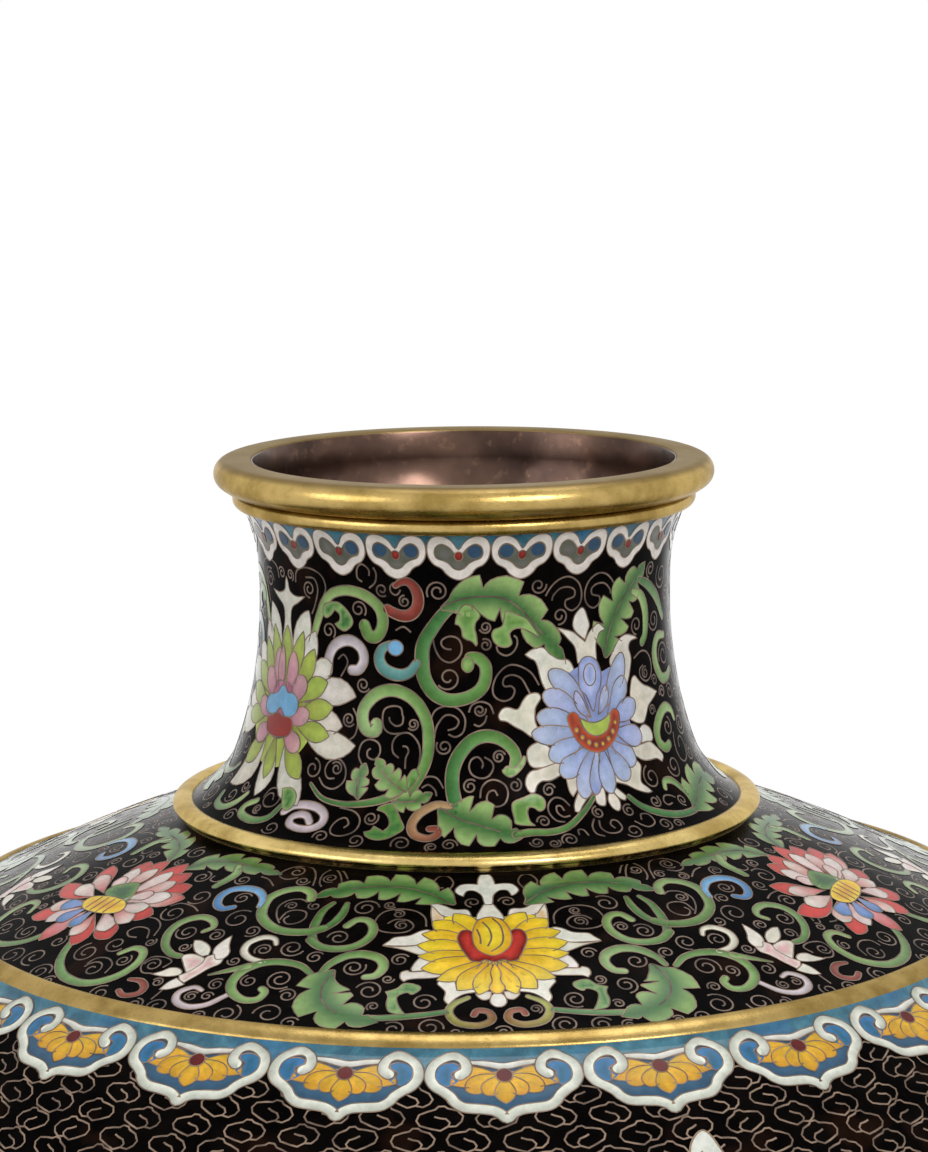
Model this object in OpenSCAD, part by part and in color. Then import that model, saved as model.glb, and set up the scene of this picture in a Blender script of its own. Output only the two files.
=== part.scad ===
// Cloisonne vase: a copper body raised in four sections, gilt rim, rings and foot, and
// fired enamel registers whose borders are drawn with soldered wire cells.
// Millimetres. The vase stands on z = 0 with its axis on z. The front is -y.

/* [Heights, from the foot up] */
// Height of the gilt foot ring
foot_h = 14; // [8:0.5:22]
// From the foot ring up to the widest part of the body
lower_h = 169; // [140:1:200]
// From the widest part up to the shoulder ring
upper_h = 44.1; // [38:0.1:56]
// From the shoulder ring up to the neck ring
shoulder_h = 16.2; // [12:0.1:22]
// From the neck ring up to the narrowest part of the neck
waist_h = 35.1; // [28:0.1:50]
// From the narrowest part of the neck up to the collar
flare_h = 14.6; // [12:0.1:22]
// Height of the collar bead
collar_h = 1.9; // [1.2:0.1:3]

/* [Radii of the finished surface] */
// Neck just under the collar
neck_top_r = 35.9; // [35.8:0.1:42]
// Neck at its narrowest
waist_r = 33; // [26:0.1:35]
// Foot of the neck, at the neck ring
neck_ring_r = 45.3; // [40:0.1:52]
// Shoulder at the shoulder ring
shoulder_ring_r = 84.6; // [76:0.1:94]
// Widest part of the body
belly_r = 112; // [102:0.5:126]
// Body where it meets the foot ring
foot_top_r = 62.6; // [54:0.1:72]
// How far the foot ring spreads beyond the body
foot_spread = 3.4; // [1:0.1:10]

/* [Curves] */
// Slope of the shoulder at the neck ring, in degrees
neck_ring_slope = 15; // [8:1:25]
// Slope of the shoulder at the shoulder ring, in degrees
shoulder_ring_slope = 27; // [22:1:34]
// How far the neck flares outwards to the collar
flare_run = 2.6; // [1:0.1:5]
// How far down the neck that flare reaches
flare_drop = 4; // [2:0.1:7]
// Straightness of the neck above its waist
waist_up = 5; // [2:0.1:8]
// Straightness of the neck below its waist
waist_down = 15; // [8:0.1:22]
// Fillet of the neck into the shoulder
neck_fillet = 7.9; // [4:0.1:12]
// Straightness of the shoulder at either ring
shoulder_hold = 13; // [8:0.1:18]
// Straightness of the body just below the shoulder ring
turn_hold = 12; // [6:0.1:20]
// Fullness of the body above its widest part
belly_up = 25; // [15:0.5:32]
// Fullness of the body below its widest part
belly_down = 45; // [25:1:80]
// Fullness of the body above the foot ring
foot_hold = 36; // [20:1:60]
// How far that fullness stands out from the foot ring
foot_swell = 3.4; // [0:0.1:10]

/* [Metal and enamel] */
// Copper of the body
copper_t = 1.2; // [0.8:0.05:1.6]
// Enamel on the copper
enamel_t = 0.9; // [0.6:0.05:1.2]
// Width of a cell wire
wire_w = 0.4; // [0.25:0.05:0.6]
// How far the cell wires stand above the enamel
wire_proud = 0.1; // [0.05:0.05:0.3]
// Radius of the gilt bead of the two rings
bead_r = 1.25; // [1.1:0.05:1.8]
// Half width of the seat under a bead
bead_seat = 1; // [0.6:0.05:1.05]
// Height of a bead's centre above the enamel
bead_lift = 1.5; // [1.1:0.05:2]

/* [Rim and foot] */
// Radius of the rolled rim's section
rim_roll_r = 2.3; // [1.6:0.1:2.5]
// How far the rolled section hangs below its middle, as a share of its radius
roll_under = 0.85; // [0.6:0.05:0.9]
// How far the middle of the roll stands out from the neck's bore
roll_out = 3.8; // [3.4:0.1:5]
// Height of the rim's foot under the roll
rim_foot_h = 0.845; // [0.5:0.005:2]
// How far the rim's bore stands inside the neck's bore
lip_in = 0.2; // [0:0.05:0.6]
// Rounding of the rim's inner edge
lip_round = 0.5; // [0.2:0.1:0.8]
// How far the collar bead stands out from the neck's metal
collar_out = 1.4; // [1:0.1:2.4]
// Width of the foot ring's bearing face
foot_land = 5; // [3:0.1:8]
// Height of the foot ring's lower bead
foot_bead_h = 3; // [2:0.1:5]
// Ledge inside the foot ring that carries the base plate
base_ledge = 2; // [1.2:0.1:4]
// Copper of the base plate
base_t = 1.2; // [0.8:0.1:2.4]

/* [Borders] */
// Number of ruyi heads round the neck
ruyi_n = 22; // [18:1:24]
// Turn of the first ruyi head from the front, in degrees
ruyi_turn = -1.5; // [-8:0.1:8]
// Room between neighbouring ruyi heads, where they are closest
ruyi_space = 0.4; // [0.3:0.05:1.2]
// Drop of a ruyi head
ruyi_drop = 7; // [6.4:0.1:7.6]
// Plain band above the ruyi heads
ruyi_gap = 0.8; // [0.5:0.1:1.6]
// Number of lappets below the shoulder ring
lappet_n = 25; // [18:1:30]
// Turn of the first lappet from the front, in degrees
lappet_turn = 3.2; // [-7:0.1:7]
// Room between neighbouring lappets where they are widest
lappet_space = 0.6; // [0.4:0.1:3]
// Drop of a lappet
lappet_drop = 11.2; // [9:0.1:13]
// Plain band between the shoulder ring and the lappets
lappet_gap = 0.4; // [0.3:0.1:2]
// Number of upright petals above the foot
petal_n = 32; // [24:1:36]
// Room between neighbouring upright petals at the foot ring
petal_space = 1.2; // [0.6:0.1:3]
// Rise of an upright petal
petal_rise = 15; // [8:0.1:18]
// Plain band round a border's outer edge
border_edge = 1.2; // [0.8:0.1:2.5]
// White enamel inside a head's wire
white_w = 0.9; // [0.6:0.05:1]

/* [Part] */
// all, or one node by name

/* [Hidden] */
$fn = 144;

foot_r = foot_top_r + foot_spread;
z_foot = foot_h;
z_belly = z_foot + lower_h;
z_shoulder = z_belly + upper_h;
z_neck = z_shoulder + shoulder_h;
z_waist = z_neck + waist_h;
z_collar = z_waist + flare_h;
z_rim = z_collar + collar_h;
z_roll = z_rim + rim_foot_h + rim_roll_r * roll_under;
z_top = z_roll + rim_roll_r;

// The finished surface, as five curves in (radius, height) from the collar down to the foot.
function slope(a) = [cos(a), -sin(a)];
TOP = [neck_top_r, z_collar];
WAIST = [waist_r, z_waist];
NECK = [neck_ring_r, z_neck];
SHOULDER = [shoulder_ring_r, z_shoulder];
BELLY = [belly_r, z_belly];
FOOT = [foot_top_r, z_foot];
CURVES = [
    [TOP, TOP - [flare_run, flare_drop], WAIST + [0, waist_up], WAIST],
    [WAIST, WAIST - [0, waist_down], NECK - neck_fillet * slope(neck_ring_slope), NECK],
    [NECK, NECK + shoulder_hold * slope(neck_ring_slope),
        SHOULDER - shoulder_hold * slope(shoulder_ring_slope), SHOULDER],
    [SHOULDER, SHOULDER + turn_hold * slope(shoulder_ring_slope), BELLY + [0, belly_up], BELLY],
    [BELLY, BELLY - [0, belly_down], FOOT + [foot_swell, foot_hold], FOOT]];

function point(c, t) = let (p = CURVES[c], u = 1 - t)
    u * u * u * p[0] + 3 * u * u * t * p[1] + 3 * u * t * t * p[2] + t * t * t * p[3];
function heading(c, t) = let (p = CURVES[c], u = 1 - t)
    u * u * (p[1] - p[0]) + 2 * u * t * (p[2] - p[1]) + t * t * (p[3] - p[2]);
// The outward normal, level at the two cut ends so that the rim and the foot sit flat.
function normal(c, t) = (c == 0 && t == 0) || (c == 4 && t == 1) ? [1, 0]
    : let (d = heading(c, t)) [-d[1], d[0]] / norm(d);
function under(q, depth) = point(q[0], q[1]) - depth * normal(q[0], q[1]);
// Length of a curve from its top to a place on it, and the place at a length from its top.
function run(c, t, n = 32) = [for (i = [1:n]) norm(point(c, t * i / n) - point(c, t * (i - 1) / n))]
    * [for (i = [1:n]) 1];
function at_run(c, len, lo = 0, hi = 1, n = 22) = let (mid = (lo + hi) / 2)
    n == 0 ? mid : run(c, mid) < len ? at_run(c, len, mid, hi, n - 1) : at_run(c, len, lo, mid, n - 1);

// Stations along the surface, as [curve, place on it]. Neighbours share their stations.
function span(c, t0, t1, n) = [for (i = [0:n]) [c, t0 + (t1 - t0) * i / n]];
function rest(q) = [for (i = [1:len(q) - 1]) q[i]];
function before_end(c) = 1 - bead_seat / (3 * norm(CURVES[c][3] - CURVES[c][2]));
function after_start(c) = bead_seat / (3 * norm(CURVES[c][1] - CURVES[c][0]));

ruyi_zone = ruyi_gap + ruyi_drop + border_edge;
lappet_zone = bead_seat + lappet_gap + lappet_drop + border_edge;
petal_zone = petal_rise + 2 * border_edge;
t_ruyi = at_run(0, ruyi_zone);
t_lappet = at_run(3, lappet_zone);
t_lower = at_run(4, run(4, 1) / 2);
t_petal = at_run(4, run(4, 1) - petal_zone);

Q_ruyi = span(0, 0, t_ruyi, 3);
Q_neck = concat(span(0, t_ruyi, 1, 3), rest(span(1, 0, before_end(1), 10)));
Q_shoulder = span(2, after_start(2), before_end(2), 8);
Q_lappet = span(3, after_start(3), t_lappet, 2);
Q_turn = span(3, t_lappet, 1, 8);
Q_lower = span(4, 0, t_lower, 8);
Q_taper = span(4, t_lower, t_petal, 6);
Q_petal = span(4, t_petal, 1, 2);

// A layer between two depths under the finished surface.
module layer(q, top, bottom) {
    rotate_extrude() polygon(concat([for (s = q) under(s, top)],
        [for (i = [len(q) - 1:-1:0]) under(q[i], bottom)]));
}
module copper(q) { color([0.62, 0.40, 0.30]) layer(q, enamel_t, enamel_t + copper_t); }
module enamel(q, c) { color(c) layer(q, 0, enamel_t); }

// ---- copper body ----
copper_top_out = TOP[0] - enamel_t;
copper_top_in = copper_top_out - copper_t;
module neck_shell() {
    q = concat(Q_ruyi, rest(Q_neck), [[1, 1]]);
    color([0.62, 0.40, 0.30]) rotate_extrude() polygon(concat([[copper_top_out, z_rim]],
        [for (s = q) under(s, enamel_t)],
        [for (i = [len(q) - 1:-1:0]) under(q[i], enamel_t + copper_t)], [[copper_top_in, z_rim]]));
}
module shoulder_shell() { copper(concat([[2, 0]], Q_shoulder, [[2, 1]])); }
module upper_body_shell() { copper(concat([[3, 0]], Q_lappet, rest(Q_turn))); }
module lower_body_shell() { copper(Q_lower); }
module foot_shell() { copper(concat(Q_taper, rest(Q_petal))); }

// ---- gilt rim ----
mouth_r = copper_top_in - lip_in;
roll = [copper_top_in + roll_out, z_roll];
module mouth_rim() {
    color([0.83, 0.66, 0.30]) rotate_extrude() polygon(concat(
        [[mouth_r, z_rim], [mouth_r, z_top - lip_round], [mouth_r + lip_round, z_top]],
        [for (i = [0:10]) let (a = 90 - (90 + asin(roll_under)) * i / 10) roll + rim_roll_r * [cos(a), sin(a)]],
        [[roll[0], z_rim]]));
}
module rim_collar() {
    color([0.83, 0.66, 0.30]) rotate_extrude() polygon(concat([[copper_top_out, z_collar]],
        [for (a = [-90:22.5:90]) [copper_top_out + collar_out * cos(a) * 0.35 + collar_out * 0.65,
            z_collar + collar_h / 2 * (1 + sin(a))]],
        [[copper_top_out, z_rim]]));
}

// ---- gilt rings: a round bead on a narrow seat soldered to the copper ----
module ring_bead(above, joint, below) {
    a = under(above, 0);
    b = under(below, 0);
    n = normal(joint[0], joint[1]);
    along = [n[1], -n[0]];
    mid = point(joint[0], joint[1]) + bead_lift * n;
    from = -asin(sqrt(1 - pow(bead_seat / bead_r, 2)));
    color([0.83, 0.66, 0.30]) rotate_extrude() polygon(concat(
        [under(above, enamel_t), under(joint, enamel_t), under(below, enamel_t), b],
        [for (i = [0:14]) let (w = from + (180 - 2 * from) * i / 14)
            mid + bead_r * (cos(w) * along + sin(w) * n)], [a]));
}
module neck_ring() { ring_bead([1, before_end(1)], [1, 1], [2, after_start(2)]); }
module shoulder_ring() { ring_bead([2, before_end(2)], [2, 1], [3, after_start(3)]); }

// ---- foot ----
copper_foot_in = FOOT[0] - enamel_t - copper_t;
ledge_r = copper_foot_in - base_ledge;
module foot_ring() {
    color([0.83, 0.66, 0.30]) rotate_extrude() polygon(concat(
        [[foot_r - foot_land, 0], [foot_r - 0.6, 0]],
        [for (a = [-60:30:60]) [foot_r - 0.8, foot_bead_h / 2] + [0.8 * cos(a), foot_bead_h / 2 * sin(a)]],
        [for (i = [0:6]) let (t = i / 6) [FOOT[0] + (foot_r - 1.6 - FOOT[0]) * pow(1 - t, 2),
            foot_bead_h + (foot_h - foot_bead_h) * t]],
        [[ledge_r, foot_h], [ledge_r, foot_h - 1.6]]));
}
module base_plate() {
    color([0.62, 0.40, 0.30]) translate([0, 0, foot_h]) cylinder(r = copper_foot_in, h = base_t);
}
module base_enamel() {
    color([0.10, 0.42, 0.48]) translate([0, 0, foot_h - enamel_t]) cylinder(r = ledge_r, h = enamel_t);
}

// ---- plain enamel registers ----
BLACK = [0.05, 0.04, 0.04];
BLUE = [0.12, 0.42, 0.60];
WHITE = [0.90, 0.89, 0.85];
WIRE = [0.70, 0.50, 0.32];
module neck_enamel() { enamel(Q_neck, BLACK); }
module shoulder_enamel() { enamel(Q_shoulder, BLACK); }
module belly_enamel() { enamel(concat(Q_turn, rest(Q_lower), rest(Q_taper)), BLACK); }

// ---- wire cells ----
// Outlines hang from y = 0 down to y = -1, and are 1 wide. Each is given for its right half.
HALF_HEAD = [[0.046, -0.11], [0.145, 0], [0.276, 0], [0.408, -0.07], [0.487, -0.257],
    [0.5, -0.47], [0.43, -0.64], [0.322, -0.74], [0.18, -0.92]];
HALF_LAPPET = [[0.07, -0.15], [0.25, -0.125], [0.31, -0.03], [0.40, 0], [0.475, -0.08],
    [0.5, -0.27], [0.485, -0.46], [0.42, -0.62], [0.365, -0.76], [0.28, -0.86], [0.12, -0.90]];
HALF_PETAL = [[0.44, 0], [0.50, -0.25], [0.47, -0.52], [0.36, -0.76], [0.19, -0.92]];
function outline(half, w, h) = concat([for (p = half) [p[0] * w, p[1] * h]], [[0, -h]],
    [for (i = [len(half) - 1:-1:0]) [-half[i][0] * w, half[i][1] * h]]);
// The room that each of n shapes has round the vase at a station.
function pitch(q, n) = 2 * PI * point(q[0], q[1])[0] / n;
// Each corner moves in along the bisector of its two sides.
function inset(p, d) = [for (i = [0:len(p) - 1]) let (a = p[i] - p[(i + len(p) - 1) % len(p)],
    b = p[(i + 1) % len(p)] - p[i], na = [a[1], -a[0]] / norm(a), nb = [b[1], -b[0]] / norm(b))
    p[i] + d * (na + nb) / (1 + na * nb)];

// Places a flat outline on the surface: x runs round the vase, y up the surface.
module on_surface(q, angle) {
    p = point(q[0], q[1]);
    n = normal(q[0], q[1]);
    rotate([0, 0, angle]) translate([0, -p[0], p[1]]) rotate([atan2(n[0], n[1]), 0, 0]) children();
}
module around(q, n, turn, shape, up, reach) {
    for (i = [0:n - 1]) on_surface(q, turn + i * 360 / n) translate([0, up, -reach]) linear_extrude(2 * reach)
        polygon(shape);
}
module around_frame(q, n, turn, outer, inner, up, reach) {
    k = len(outer);
    for (i = [0:n - 1]) on_surface(q, turn + i * 360 / n) translate([0, up, -reach]) linear_extrude(2 * reach)
        polygon(concat(outer, inner), paths = [[for (j = [0:k - 1]) j], [for (j = [0:k - 1]) k + j]]);
}

RUYI = outline(HALF_HEAD, pitch([0, t_ruyi], ruyi_n) - ruyi_space, ruyi_drop);
RUYI_IN = inset(RUYI, wire_w);
RUYI_CORE = inset(RUYI, wire_w + white_w);
S_RUYI = [0, at_run(0, ruyi_gap + ruyi_drop / 2)];
up_ruyi = ruyi_drop / 2;
reach_ruyi = 3;
module ruyi_ground() {
    color(BLUE) difference() {
        layer(Q_ruyi, 0, enamel_t);
        around(S_RUYI, ruyi_n, ruyi_turn, RUYI, up_ruyi, reach_ruyi);
    }
}
module ruyi_wires() {
    color(WIRE) intersection() {
        layer(Q_ruyi, -wire_proud, enamel_t);
        around_frame(S_RUYI, ruyi_n, ruyi_turn, RUYI, RUYI_IN, up_ruyi, reach_ruyi);
    }
}
module ruyi_whites() {
    color(WHITE) intersection() {
        layer(Q_ruyi, 0, enamel_t);
        around_frame(S_RUYI, ruyi_n, ruyi_turn, RUYI_IN, RUYI_CORE, up_ruyi, reach_ruyi);
    }
}
module ruyi_fills() {
    color([0.35, 0.45, 0.55]) intersection() {
        layer(Q_ruyi, 0, enamel_t);
        around(S_RUYI, ruyi_n, ruyi_turn, RUYI_CORE, up_ruyi, reach_ruyi);
    }
}

S_LAPPET = [3, at_run(3, bead_seat + lappet_gap + lappet_drop / 2)];
W_LAPPET = [3, at_run(3, bead_seat + lappet_gap + 0.3 * lappet_drop)];
LAPPET = outline(HALF_LAPPET, pitch(W_LAPPET, lappet_n) - lappet_space, lappet_drop);
LAPPET_IN = inset(LAPPET, wire_w);
LAPPET_CORE = inset(LAPPET, wire_w + white_w);
up_lappet = lappet_drop / 2;
reach_lappet = 5;
module lappet_ground() {
    color(BLUE) difference() {
        layer(Q_lappet, 0, enamel_t);
        around(S_LAPPET, lappet_n, lappet_turn, LAPPET, up_lappet, reach_lappet);
    }
}
module lappet_wires() {
    color(WIRE) intersection() {
        layer(Q_lappet, -wire_proud, enamel_t);
        around_frame(S_LAPPET, lappet_n, lappet_turn, LAPPET, LAPPET_IN, up_lappet, reach_lappet);
    }
}
module lappet_whites() {
    color(WHITE) intersection() {
        layer(Q_lappet, 0, enamel_t);
        around_frame(S_LAPPET, lappet_n, lappet_turn, LAPPET_IN, LAPPET_CORE, up_lappet, reach_lappet);
    }
}
module lappet_fills() {
    color([0.93, 0.72, 0.20]) intersection() {
        layer(Q_lappet, 0, enamel_t);
        around(S_LAPPET, lappet_n, lappet_turn, LAPPET_CORE, up_lappet, reach_lappet);
    }
}

// Upright petals stand on the foot ring's border, so their outline is turned over.
PETAL = [for (p = outline(HALF_PETAL, pitch([4, 1], petal_n) - petal_space, petal_rise)) -p];
PETAL_IN = inset(PETAL, wire_w);
S_PETAL = [4, at_run(4, run(4, 1) - petal_zone / 2)];
up_petal = -petal_rise / 2;
reach_petal = 3;
module petal_ground() {
    color(BLUE) difference() {
        layer(Q_petal, 0, enamel_t);
        around(S_PETAL, petal_n, 0, PETAL, up_petal, reach_petal);
    }
}
module petal_wires() {
    color(WIRE) intersection() {
        layer(Q_petal, -wire_proud, enamel_t);
        around_frame(S_PETAL, petal_n, 0, PETAL, PETAL_IN, up_petal, reach_petal);
    }
}
module petal_fills() {
    color(WHITE) intersection() {
        layer(Q_petal, 0, enamel_t);
        around(S_PETAL, petal_n, 0, PETAL_IN, up_petal, reach_petal);
    }
}

mouth_rim();
rim_collar();
neck_shell();
shoulder_shell();
upper_body_shell();
lower_body_shell();
foot_shell();
base_plate();
foot_ring();
neck_ring();
shoulder_ring();
ruyi_ground();
ruyi_wires();
ruyi_whites();
ruyi_fills();
neck_enamel();
shoulder_enamel();
lappet_ground();
lappet_wires();
lappet_whites();
lappet_fills();
belly_enamel();
petal_ground();
petal_wires();
petal_fills();
base_enamel();
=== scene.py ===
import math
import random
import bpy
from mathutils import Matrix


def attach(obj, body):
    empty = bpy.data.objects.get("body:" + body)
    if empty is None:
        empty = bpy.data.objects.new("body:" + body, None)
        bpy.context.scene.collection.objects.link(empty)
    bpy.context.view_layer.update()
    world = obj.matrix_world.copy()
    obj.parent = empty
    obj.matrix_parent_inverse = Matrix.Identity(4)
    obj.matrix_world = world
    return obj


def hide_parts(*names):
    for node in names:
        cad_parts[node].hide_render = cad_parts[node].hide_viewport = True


bl_info = {
    "name": "Cloisonne vase",
    "version": (1, 0, 0),
    "blender": (4, 5, 0),
    "location": "View3D > Sidebar > Vase",
    "description": "Builds a cloisonne vase: gilt metalwork, enamel grounds and scrolling lotus",
    "category": "Object",
}

import bpy
import numpy as np
from mathutils import Matrix, Vector

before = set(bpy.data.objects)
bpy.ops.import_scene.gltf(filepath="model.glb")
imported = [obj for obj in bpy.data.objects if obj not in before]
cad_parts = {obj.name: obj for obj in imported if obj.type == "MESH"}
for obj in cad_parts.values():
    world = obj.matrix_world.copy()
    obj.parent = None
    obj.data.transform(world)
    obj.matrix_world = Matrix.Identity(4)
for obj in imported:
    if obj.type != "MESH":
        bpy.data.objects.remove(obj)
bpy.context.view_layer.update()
MM = 0.001

# ---- the finished surface: the same five curves as the part's source, in (radius, height) mm ----


def slope(angle):
    return np.array([math.cos(math.radians(angle)), -math.sin(math.radians(angle))])


def pt(r, z):
    return np.array([r, z], float)


TOP, WAIST, NECK = pt(35.9, 293), pt(33, 278.4), pt(45.3, 243.3)
SHOULDER, BELLY, FOOT = pt(84.6, 227.1), pt(112, 183), pt(62.6, 14)
CURVES = (
    (TOP, TOP - pt(2.6, 4), WAIST + pt(0, 5), WAIST),
    (WAIST, WAIST - pt(0, 15), NECK - 7.9 * slope(15), NECK),
    (NECK, NECK + 13 * slope(15), SHOULDER - 13 * slope(27), SHOULDER),
    (SHOULDER, SHOULDER + 12 * slope(27), BELLY + pt(0, 25), BELLY),
    (BELLY, BELLY - pt(0, 45), FOOT + pt(3.4, 36), FOOT),
)
COPPER_UNDER, COPPER_T = 0.9, 1.2
BEAD_SEAT = 1.0
# The enamel is built up against each gilt ring, given by the curve above it: how high, and how far that
# reaches above and below the joint.
BUILD_UP = {1: (1.8, 13.0, 1.3), 2: (0.5, 9.0, 1.3)}


def bezier(curve, n=160):
    t = np.linspace(0, 1, n)[:, None]
    a, b, c, d = curve
    return (1 - t) ** 3 * a + 3 * (1 - t) ** 2 * t * b + 3 * (1 - t) * t * t * c + t**3 * d


def fall(x):
    """Falls smoothly from 1 at 0 to 0 at 1 and beyond."""
    return (1 - np.clip(x, 0, 1) ** 2) ** 2


class Register:
    """A band of the vase's surface. A place on it is an angle round from the front, in degrees,
    and a distance down the surface from the band's top edge, in mm."""

    def __init__(self, *curves):
        parts = [bezier(CURVES[c]) for c in curves]
        line = np.vstack([parts[0]] + [p[1:] for p in parts[1:]])
        step = np.diff(line, axis=0)
        self.s = np.concatenate([[0], np.cumsum(np.hypot(*step.T))])
        self.r, self.z = line.T
        tangent = np.gradient(line, self.s, axis=0)
        tangent /= np.linalg.norm(tangent, axis=1)[:, None]
        self.nr, self.nz = -tangent[:, 1], tangent[:, 0]
        self.length = self.s[-1]
        self.above, self.below = BUILD_UP.get(curves[-1]), BUILD_UP.get(curves[0] - 1)

    def rise(self, s):
        """Height of the built-up enamel at a distance down."""
        s = np.asarray(s, float)
        h = 0.0 * s
        if self.above:
            h = h + self.above[0] * fall((self.length - s) / self.above[1])
        if self.below:
            h = h + self.below[0] * fall(s / self.below[2])
        return h

    def radius(self, s):
        return np.interp(s, self.s, self.r)

    def per_degree(self, s):
        return self.radius(s) * math.pi / 180

    def at(self, s, lift=0.0):
        nr, nz = np.interp(s, self.s, self.nr), np.interp(s, self.s, self.nz)
        return self.radius(s) + lift * nr, np.interp(s, self.s, self.z) + lift * nz

    def place(self, az, s, lift=0.0):
        """Points in metres at these angles, distances down and heights above the surface."""
        r, z = self.at(s, lift + self.rise(s))
        a = np.radians(az)
        return np.stack([r * np.sin(a), -r * np.cos(a), z + 0 * a], -1) * MM


NECK_BAND = Register(0, 1)
SHOULDER_BAND = Register(2)
BODY_BAND = Register(3, 4)

# Depths under the finished surface, in mm. Each layer of cells lies on the one before, and the cells of a
# layer rise by one step each, round and round.
GROUND = -0.20
LAYERS = (-0.165, -0.135, -0.105, -0.08)
STEP, STEP_CYCLE = 0.0005, 24
# How far one group of motifs lies over the group before, and flowers over their scrolls.
NEXT_OVER = 0.0001
FLOWER_OVER = 0.006
# A wire's height over its cell and the depth of its wedge, and the thickness of the enamel sheets.
WIRE_OVER, WIRE_DEEP = 0.018, 0.07
SHEET_THICK = 0.05
# How far a turquoise strip reaches over and under the face of the black ground, and the ground's gap over
# the copper.
STRIP_OVER, STRIP_UNDER, GROUND_GAP = 0.012, 0.1, 0.03
# Where the black grounds stop above the shoulder ring and start below it.
SHOULDER_STOP, BODY_START = 2.6, 3.6
# The least bare ground that takes a curl of wire, as a distance to its nearest neighbour, and the most
# that a curl fills.
CURL_LEAST, CURL_MOST = 1.25, 2.4
# Bare ground kept free round a curl, and the points and inward shrinking of its spiral.
CURL_GAP, CURL_POINTS, CURL_SHRINK = 0.3, 26, 0.76
# Where curls may stand, and the rows of cloud wires: distance from the top and from the bottom of the band.
NECK_ZONE, SHOULDER_ZONE, CLOUD_ZONE = (8.4, 3), (2.4, 2.2), (8.6, 19)
# How the cloud wires stray: least and most size, tilt in degrees, share turned over, and angle.
CLOUD_SIZE, CLOUD_TILT, CLOUD_TURNED, CLOUD_STRAY = (0.92, 1.06), 9, 0.25, 0.12
# Starting numbers of what is placed at random.
NECK_SEED, SHOULDER_SEED, CLOUD_SEED = 11, 12, 7
# How often the motifs come back round each band, and the angle of the shoulder's first middle.
NECK_TIMES, SHOULDER_TIMES, BODY_TIMES = 2, 3, 5
SHOULDER_MIDDLE = 3.3
# The angle about which motifs of the neck are turned over for its far side.
NECK_MIRROR = -57
# The angle of the first ruyi head and of the first lappet.
RUYI_FIRST, LAPPET_FIRST = -1.5, 3.2
# Heights of the strips under the borders.
RUYI_STRIP, LAPPET_STRIP, PETAL_STRIP = 3.6, 5.2, 17.4
# How much narrower a lappet is than drawn, so that neighbours just meet.
LAPPET_SQUEEZE = 0.965
# Light that the inner side of a stroke gains.
STROKE_LIGHT = 0.045
# Widths of a stroke from one end to the other, as shares of its own width.
STROKE_SWELL = (0.62, 0.95, 1.12, 1.1, 0.95, 0.8)
# One lobe of a leaf: how far along it and how far out.
LOBE = ((0.0, 0.4), (0.2, 0.78), (0.55, 1.05), (0.92, 1.08))
# The sharpest turns, in degrees, that are still drawn smooth on a line, a cell and a leaf.
LINE_CORNER, CELL_CORNER, LEAF_CORNER = 100, 80, 60
# How far the cuts through the sheets stand off the drawn points.
CUT_SHIFT = 0.013
# Steps of a turned piece, and the sharpest edges that are shaded smooth on turned pieces and sheets.
LATHE_STEPS, LATHE_SMOOTH, SHEET_SMOOTH = 256, 35, 30
# The rim: its top and the radius of its roll, and the heights of the painted shade under the roll and of the
# darker lip.
RIM_TOP, ROLL_RADIUS = 300.0, 2.3
ROLL_SHADE_LOW, ROLL_SHADE_HIGH, LIP = (294.4, 295.0), (295.2, 295.9), (299.0, 299.9)
# Facing values between which the sheen sets in, its most, and its roughness.
SHEEN_FROM, SHEEN_TO, SHEEN_MOST, SHEEN_ROUGH = 0.66, 0.94, 0.9, 0.2

# ---- enamel and metal colours, as sRGB from 0 to 255 ----
PALETTE = {
    "white": (228, 224, 216), "cream": (220, 213, 198), "deep": (36, 84, 38), "green": (57, 113, 53),
    "leaf": (100, 144, 68), "mint": (146, 178, 108), "lime": (180, 200, 92), "olive": (150, 158, 64),
    "teal": (96, 150, 152), "sky": (118, 178, 222), "blue": (58, 122, 178), "lavender": (144, 160, 216),
    "pale": (192, 202, 236), "lilac": (196, 182, 192), "rose": (178, 104, 140), "pink": (218, 172, 176),
    "red": (160, 44, 36), "scarlet": (200, 56, 48), "brick": (134, 52, 38), "dark": (96, 18, 16),
    "orange": (196, 84, 50), "amber": (228, 170, 38), "yellow": (244, 214, 56),
    "peach": (226, 186, 130), "tan": (170, 136, 96), "turquoise": (44, 104, 136),
    "steel": (46, 78, 108), "azure": (62, 102, 136), "smoke": (112, 110, 106), "moss": (92, 98, 84),
    # Painted shade: the first two greens of the next line are darker copies of leaf and mint, for the
    # shoulder, which takes more light from above.
    "fern": (86, 128, 60), "sage": (132, 164, 98), "ivory": (210, 209, 201), "marigold": (236, 190, 56),
    "saffron": (216, 156, 44),
}
# The slots of the colours; those not named here go in enamel_slate.
SLOT_COLOURS = {
    "enamel_white": "white cream ivory",
    "enamel_yellow": "yellow amber marigold saffron peach lime olive",
    "enamel_turquoise": "green leaf mint deep teal turquoise blue sky azure",
}
SLOT_OF = {colour: slot for slot, colours in SLOT_COLOURS.items() for colour in colours.split()}


def linear(rgb):
    shares = (v / 255 for v in rgb)
    return tuple(c / 12.92 if c <= 0.04045 else ((c + 0.055) / 1.055) ** 2.4 for c in shares)


# Patches in the finishes: rust in the black, a bluer wash in the turquoise, grime on the gilding, painted
# shade under the rim's roll, the worn lip, and rubbed copper.
RUST, BLUE_WASH = linear((40, 22, 14)), linear((54, 112, 156))
GRIME, PAINTED_ROLL_SHADE, LIP_WORN = linear((80, 60, 32)), linear((70, 52, 28)), linear((98, 82, 56))
COPPER_RUBBED = linear((160, 122, 98))
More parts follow.
